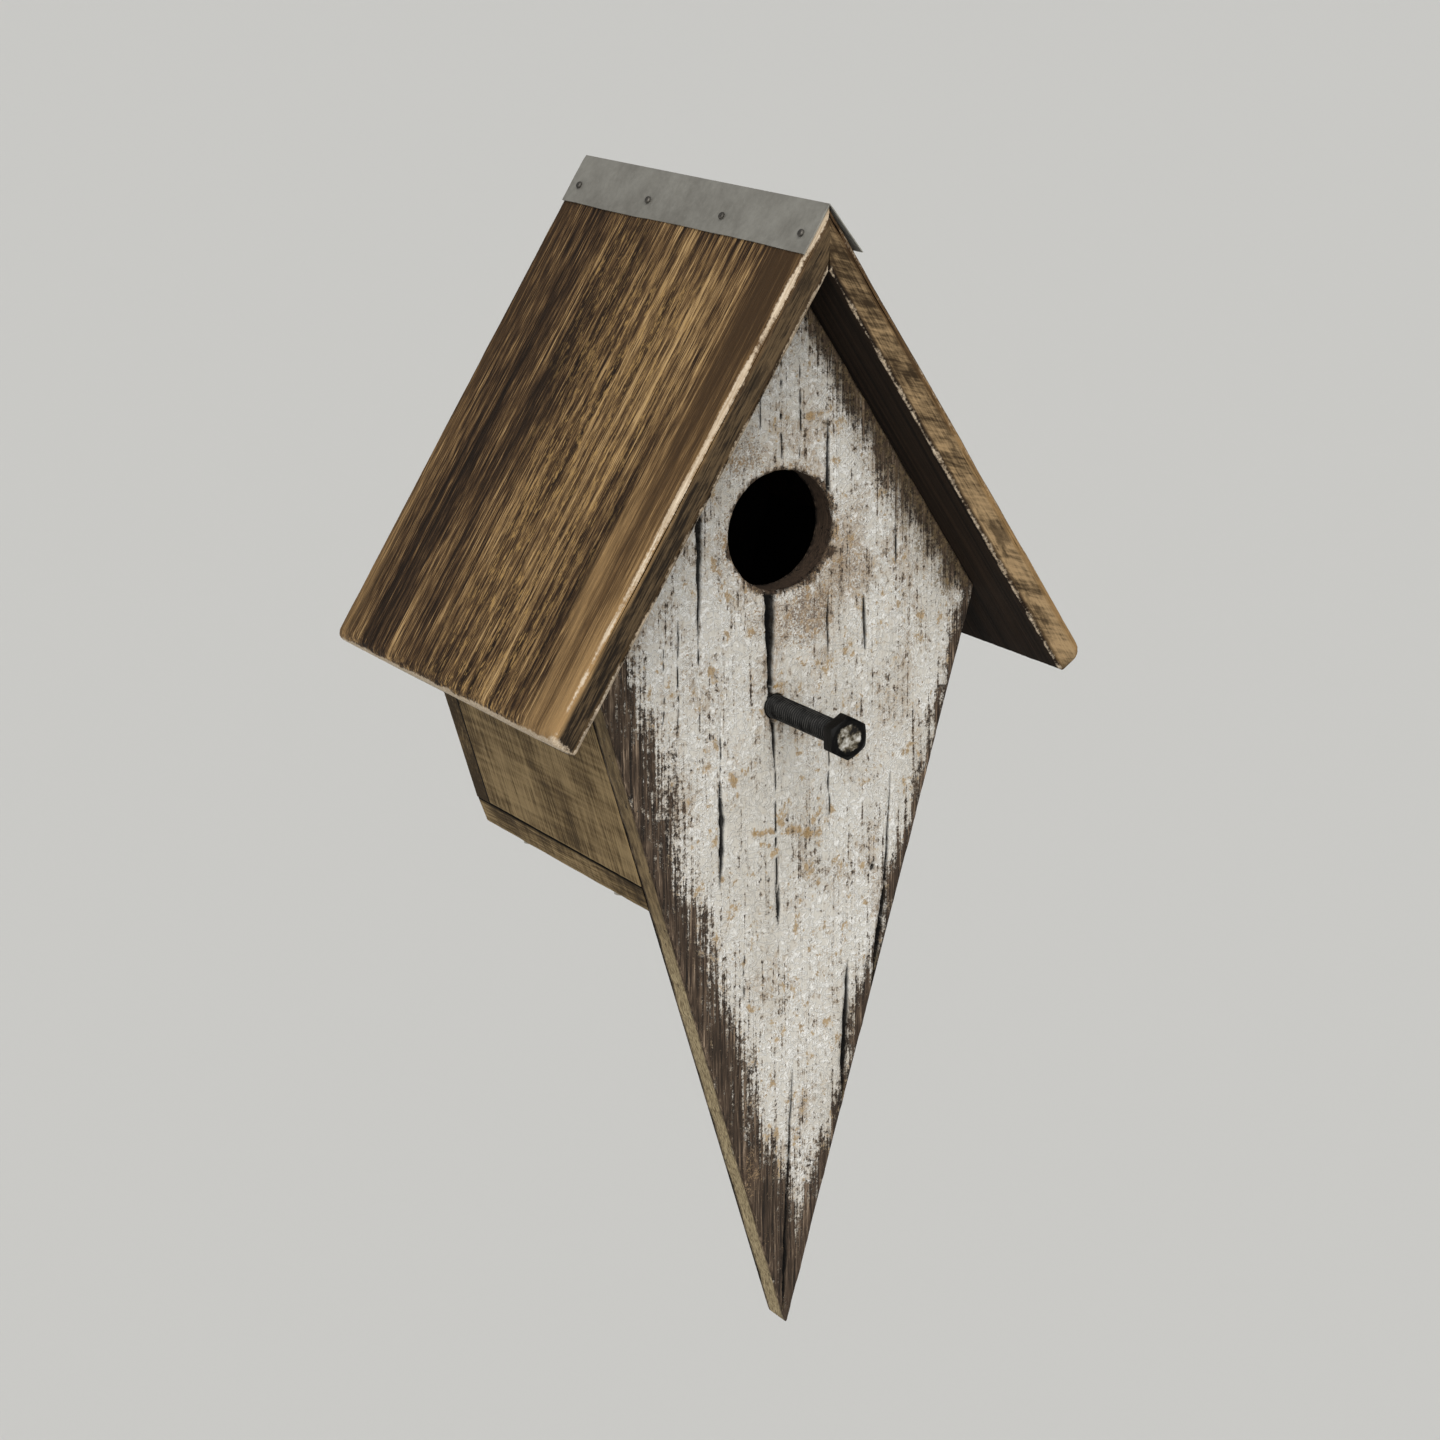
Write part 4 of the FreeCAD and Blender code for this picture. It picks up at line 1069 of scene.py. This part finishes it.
def floor_board(material, seed):
    """The floor: its underside is the outer face, its two ends bevelled with the sides."""
    node = "floor_board"
    axes = axes_of((0, 1, 0), (0, 0, -1))
    low, high = face_span(node, axes, True)
    inner_low, inner_high = face_span(node, axes, False)
    return board(
        "box_floor", node, axes, rectangle(low, high), material=material,
        rounds=[0.8] * 4, spacing=(1.2, 3.0), arris=1.6, relief=grain_relief(seed, 0.3),
        to_back=stretch(0, (low[0], high[0]), (inner_low[0], inner_high[0])), ragged=0.3,
        seed=seed, back_arris=0.3,
    )


# ---- ridge cap


def sharpen(piece, degrees):
    """Marks edges sharper than an angle, so that smooth shading stops at them."""
    piece.data.update()
    piece.data.set_sharp_from_angle(angle=math.radians(degrees))


def ridge_cap(material):
    """Thin sheet bent over the ridge, its lower left edge a little wavy, dimpled at the nails,
    its right flange sprung off the board. Each skin is a grid of rows round the bend and columns
    along the ridge."""
    low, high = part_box("ridge_cap")
    sheet, rows, columns = 0.55 * MM, 34, 150
    apex = Vector((0, RIDGE))
    points = local_points("ridge_cap", np.eye(3))
    left_end, right_end = (
        Vector((tip[0], tip[2])) - apex
        for tip in (points[np.argmin(points[:, 0])], points[np.argmax(points[:, 0])])
    )
    left = Vector((-math.cos(PITCH), -math.sin(PITCH)))
    right = right_end.normalized()
    nail_low, nail_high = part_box("ridge_cap_nails_left")
    nail_head, nail_drop = 1.3 * MM, 11 * MM
    nails = np.linspace(nail_low.y + nail_head, nail_high.y - nail_head, 4)

    def sheet_at(y, t):
        """The sheet's outer and inner points at y along the ridge, t from -1 at the left flange's
        edge to 1 at the right one's."""
        wave = 0.35 * MM * float(fbm(y / (30 * MM), 0, 81)) - 0.25 * MM
        if t < 0:
            along, across = left, Vector((left.y, -left.x))
            reach = -t * (left_end.length + wave)
            away = min(math.hypot(y - nail, reach - nail_drop) for nail in nails)
            dimple = 0.28 * MM * bell(away, 0, 2.6 * MM)
        else:
            along, across = right, Vector((-right.y, right.x))
            reach = t * (right_end.length - 0.1 * MM + 0.4 * wave)
            dimple = 0
        soft = bell(reach, 0, 2.2 * MM)
        out = across.lerp(Vector((0, 1)), soft * 0.9).normalized()
        ripple = 0.10 * MM * float(fbm(y / (17 * MM), reach / (9 * MM), 83)) - 0.12 * MM
        lift = sheet - dimple + ripple * (1 - soft) - 0.16 * MM * soft
        place = apex + along * reach
        outer = place + out * lift
        inner = place + out * max(lift - sheet, -0.4 * MM) if t < 0 else place
        return (outer.x, y, outer.y), (inner.x, y, inner.y)

    places = [
        sheet_at(low.y + (high.y - low.y) * j / columns, 2 * i / rows - 1)
        for j in range(columns + 1) for i in range(rows + 1)
    ]
    points = np.array([outer for outer, _ in places] + [inner for _, inner in places])
    shift = len(places)
    number = np.arange(shift).reshape(columns + 1, rows + 1)
    skin = np.stack([number[:-1, :-1], number[:-1, 1:], number[1:, 1:], number[1:, :-1]], -1)
    skin = skin.reshape(-1, 4)
    rim = np.concatenate([number[:-1, 0], number[-1, :-1], number[:0:-1, -1], number[0, :0:-1]])
    following = np.roll(rim, -1)
    wall = np.stack([rim, following, following + shift, rim + shift], 1)
    faces = np.concatenate([skin, skin[:, ::-1] + shift, wall]).tolist()
    piece = make_mesh("ridge_sheet", points, faces, {}, material)
    sharpen(piece, 40)
    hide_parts("ridge_cap")
    return piece


# ---- perch bolt


def revolve_grid(rings, closed):
    """Faces that join rings of equal length into a skin, with a fan that closes the first ring,
    where closed is 0, or the last, where it is -1."""
    size, last = len(rings[0]), len(rings) - 1
    points = np.vstack([*rings, rings[closed].mean(0)])
    first = np.arange(size)
    following = (first + 1) % size
    faces = []
    for row in range(last):
        quad = np.stack([first, following, following + size, first + size], 1)
        faces += (quad + row * size).tolist()
    fan = (following, first) if closed == 0 else (first + last * size, following + last * size)
    faces += np.stack([np.full(size, len(points) - 1), *fan], 1).tolist()
    return points, faces


def perch_bolt(material):
    """M8 hexagon bolt with a cut thread, its head's corners chamfered and its face worn."""
    low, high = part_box("perch_bolt")
    axis_x, axis_z = (low.x + high.x) / 2, (low.z + high.z) / 2
    flats, head_end, tip = high.x - low.x, low.y, high.y
    head_height, radius, pitch, thread_depth = 5.3 * MM, 4.0 * MM, 1.25 * MM, 0.68 * MM
    shank_top = head_end + head_height
    turn = np.linspace(0, 2 * math.pi, 60, endpoint=False)

    def ring(y, r):
        x, z = axis_x + r * np.sin(turn), axis_z + r * np.cos(turn)
        return np.column_stack([x, y + 0 * turn, z])

    rings, crest = [], []
    for y in np.arange(shank_top, tip, pitch / 9):
        phase = ((y / pitch) - turn / (2 * math.pi)) % 1.0
        cut = thread_depth * np.clip(np.abs(phase * 2 - 1) * 1.35 - 0.2, 0, 1)
        near_head = smoothstep(0.0, 1.2 * MM, y - shank_top)
        tip_cut = 1.0 * MM * smoothstep(1.6 * MM, 0.0, tip - y)
        rings.append(ring(y, radius - np.maximum(cut * near_head, tip_cut)))
        crest.append(np.clip(1 - cut / (0.18 * thread_depth), 0, 1) * near_head)
    shank, shank_faces = revolve_grid(rings[::-1], 0)

    sector, slope = math.pi / 3, math.tan(math.radians(30))
    hexagon = flats / 2 / np.cos(turn % sector - sector / 2)
    hexagon = np.minimum(hexagon, flats / math.sqrt(3) * 0.985)
    face_radius = flats * 0.465
    chamfer = np.maximum(hexagon - face_radius, 0) * slope
    rings = [ring(shank_top, radius * 0.9), ring(shank_top, hexagon * 0.97)]
    rings.append(ring(shank_top - 0.15 * MM, hexagon * 0.995))
    for share in (0.25, 0.5, 0.75, 0.93):
        rings.append(ring(shank_top - (head_height - chamfer) * share, hexagon))
    for share in (1.0, 0.7, 0.35, 0.0):
        r = face_radius * 0.985 * (1 - share) + hexagon * share
        rings.append(ring(head_end + 0.05 * MM + np.maximum(r - face_radius, 0) * slope, r))
    for share in (0.97, 0.90, 0.82, 0.7, 0.55, 0.4, 0.25, 0.1):
        circle = ring(head_end, face_radius * share)
        dent = 0.14 * MM * (1 + fbm(circle[:, 0] / (1.2 * MM), circle[:, 2] / (1.2 * MM), 91))
        circle[:, 1] += 0.02 * MM + (np.maximum(dent, 0) if share < 0.93 else 0)
        rings.append(circle)
    head, head_faces = revolve_grid(rings, -1)

    points = np.vstack([shank, head])
    faces = shank_faces + [[i + len(shank) for i in face] for face in head_faces]
    local = points - np.array([axis_x, 0, axis_z])
    away = np.hypot(local[:, 0], local[:, 2])
    face = 0.8 * smoothstep(face_radius * 0.92, face_radius * 0.6, away)
    attributes = {
        "board": local,
        "crest": np.concatenate(crest[::-1] + [np.zeros(1 + len(head))]),
        "face": face * (points[:, 1] < head_end + 0.8 * MM),
    }
    piece = make_mesh("perch", points, faces, attributes, material)
    sharpen(piece, 32)
    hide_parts("perch_bolt")
    return piece


# ---- CAD pieces that stay


def dress(node, material, bevel=None):
    """Gives a CAD node its finish and, where asked, a small bevel in mm on its sharp edges."""
    piece = frame["nodes"][node]
    piece.data.materials.clear()
    piece.data.materials.append(material)
    if bevel:
        modifier = piece.modifiers.new("worn_edges", "BEVEL")
        modifier.width = bevel * MM
        modifier.segments = 2
        modifier.limit_method = "ANGLE"
        modifier.angle_limit = math.radians(40)


# ---- stage, light and camera


def make_stage():
    """A plain pale floor well below the object."""
    size, z = 40.0, cad_low.z - 1.50
    corners = [(-size, -size, z), (size, -size, z), (size, size, z), (-size, size, z)]
    mesh = bpy.data.meshes.new("floor")
    mesh.from_pydata(corners, [], [(0, 1, 2, 3)])
    floor = bpy.data.objects.new("floor", mesh)
    bpy.context.scene.collection.objects.link(floor)
    mesh.materials.append(Graph("pale_floor").finish(PALE_FLOOR, 0.95))


def make_sun(name, direction, strength, softness, colour):
    """A soft sun that shines along a direction."""
    light = bpy.data.lights.new(name, "SUN")
    light.energy = strength
    light.angle = math.radians(softness)
    light.color = colour
    lamp = bpy.data.objects.new(name, light)
    lamp.rotation_mode = "QUATERNION"
    lamp.rotation_quaternion = Vector(direction).to_track_quat("-Z", "Y")
    bpy.context.scene.collection.objects.link(lamp)


def make_lights():
    """Soft key from the front and left, a weak light from above, and pale surroundings."""
    make_sun("key", (0.50, 0.80, -0.50), 3.0, 70, (1.0, 0.985, 0.955))
    make_sun("top", (0.10, 0.35, -0.95), 0.7, 60, (1.0, 0.99, 0.97))
    world = bpy.data.worlds.new("studio")
    world.use_nodes = True
    background = world.node_tree.nodes["Background"]
    background.inputs["Color"].default_value = (0.80, 0.81, 0.82, 1.0)
    background.inputs["Strength"].default_value = 0.30
    bpy.context.scene.world = world


def make_camera():
    """Camera ahead of, above and to the left of the object, as it is usually seen on a wall."""
    data = bpy.data.cameras.new("camera")
    data.sensor_width = 36.0
    data.lens = 84.70
    camera = bpy.data.objects.new("camera", data)
    camera.location = (-0.5655, -1.0418, RIDGE + 0.1359)
    looking = Vector((0.4903, 0.8267, -0.2758))
    roll = Quaternion(looking.normalized(), 0.0070)
    camera.rotation_mode = "QUATERNION"
    camera.rotation_quaternion = roll @ looking.to_track_quat("-Z", "Y")
    bpy.context.scene.collection.objects.link(camera)
    bpy.context.scene.camera = camera


# ---- assembly


left_roof = roof_material("stained_roof_left", LEFT_STRIP, saw_share=0.25, eave_gain=-0.7)
right_roof = roof_material("stained_roof_right", RIGHT_STRIP, saw_share=0.75, eave_gain=0.5)
box_wood = box_material("khaki_wood")
back_wood = back_material("khaki_back")
galvanised = metal_material("galvanised", (0.21, 0.20, 0.175), (0.34, 0.33, 0.295), 0.5, 60, 0.45)
nail_steel = metal_material("nail_steel", (0.03, 0.027, 0.024), (0.14, 0.13, 0.115), 0.45, 500)
plated = metal_material("zinc_plate", (0.30, 0.28, 0.23), (0.50, 0.48, 0.43), 0.38, 160)
black_steel = metal_material("black_steel", (0.01, 0.01, 0.01), (0.04, 0.04, 0.04), 0.4, 300)

roof_board("left", -1, left_roof, eave_rounds=(4.0, 2.0), wear=(1.1, 0.95, 0.9, 0.9), seed=11)
roof_board("right", 1, right_roof, eave_rounds=(7.0, 3.6), wear=(0.45, 0.25, 0.0, 0.6), seed=23)
front_board()
side_board("left", -1, box_wood, seed=31)
side_board("right", 1, box_wood, seed=37)
floor_board(box_wood, seed=95)
ridge_cap(galvanised)
perch_bolt(bolt_material())

dress("back_board", back_wood, bevel=0.3)
for node in ("ridge_cap_nails_left", "ridge_cap_nails_right", "back_board_nails",
             "front_board_brads", "left_roof_brads", "right_roof_brads"):
    dress(node, nail_steel)
for node in ("keyhole_hanger", "hanger_screws", "floor_screws"):
    dress(node, plated)
for node in ("perch_washer", "perch_nut"):
    dress(node, black_steel)

make_stage()
make_lights()
make_camera()
bpy.context.scene.view_settings.view_transform = "Standard"
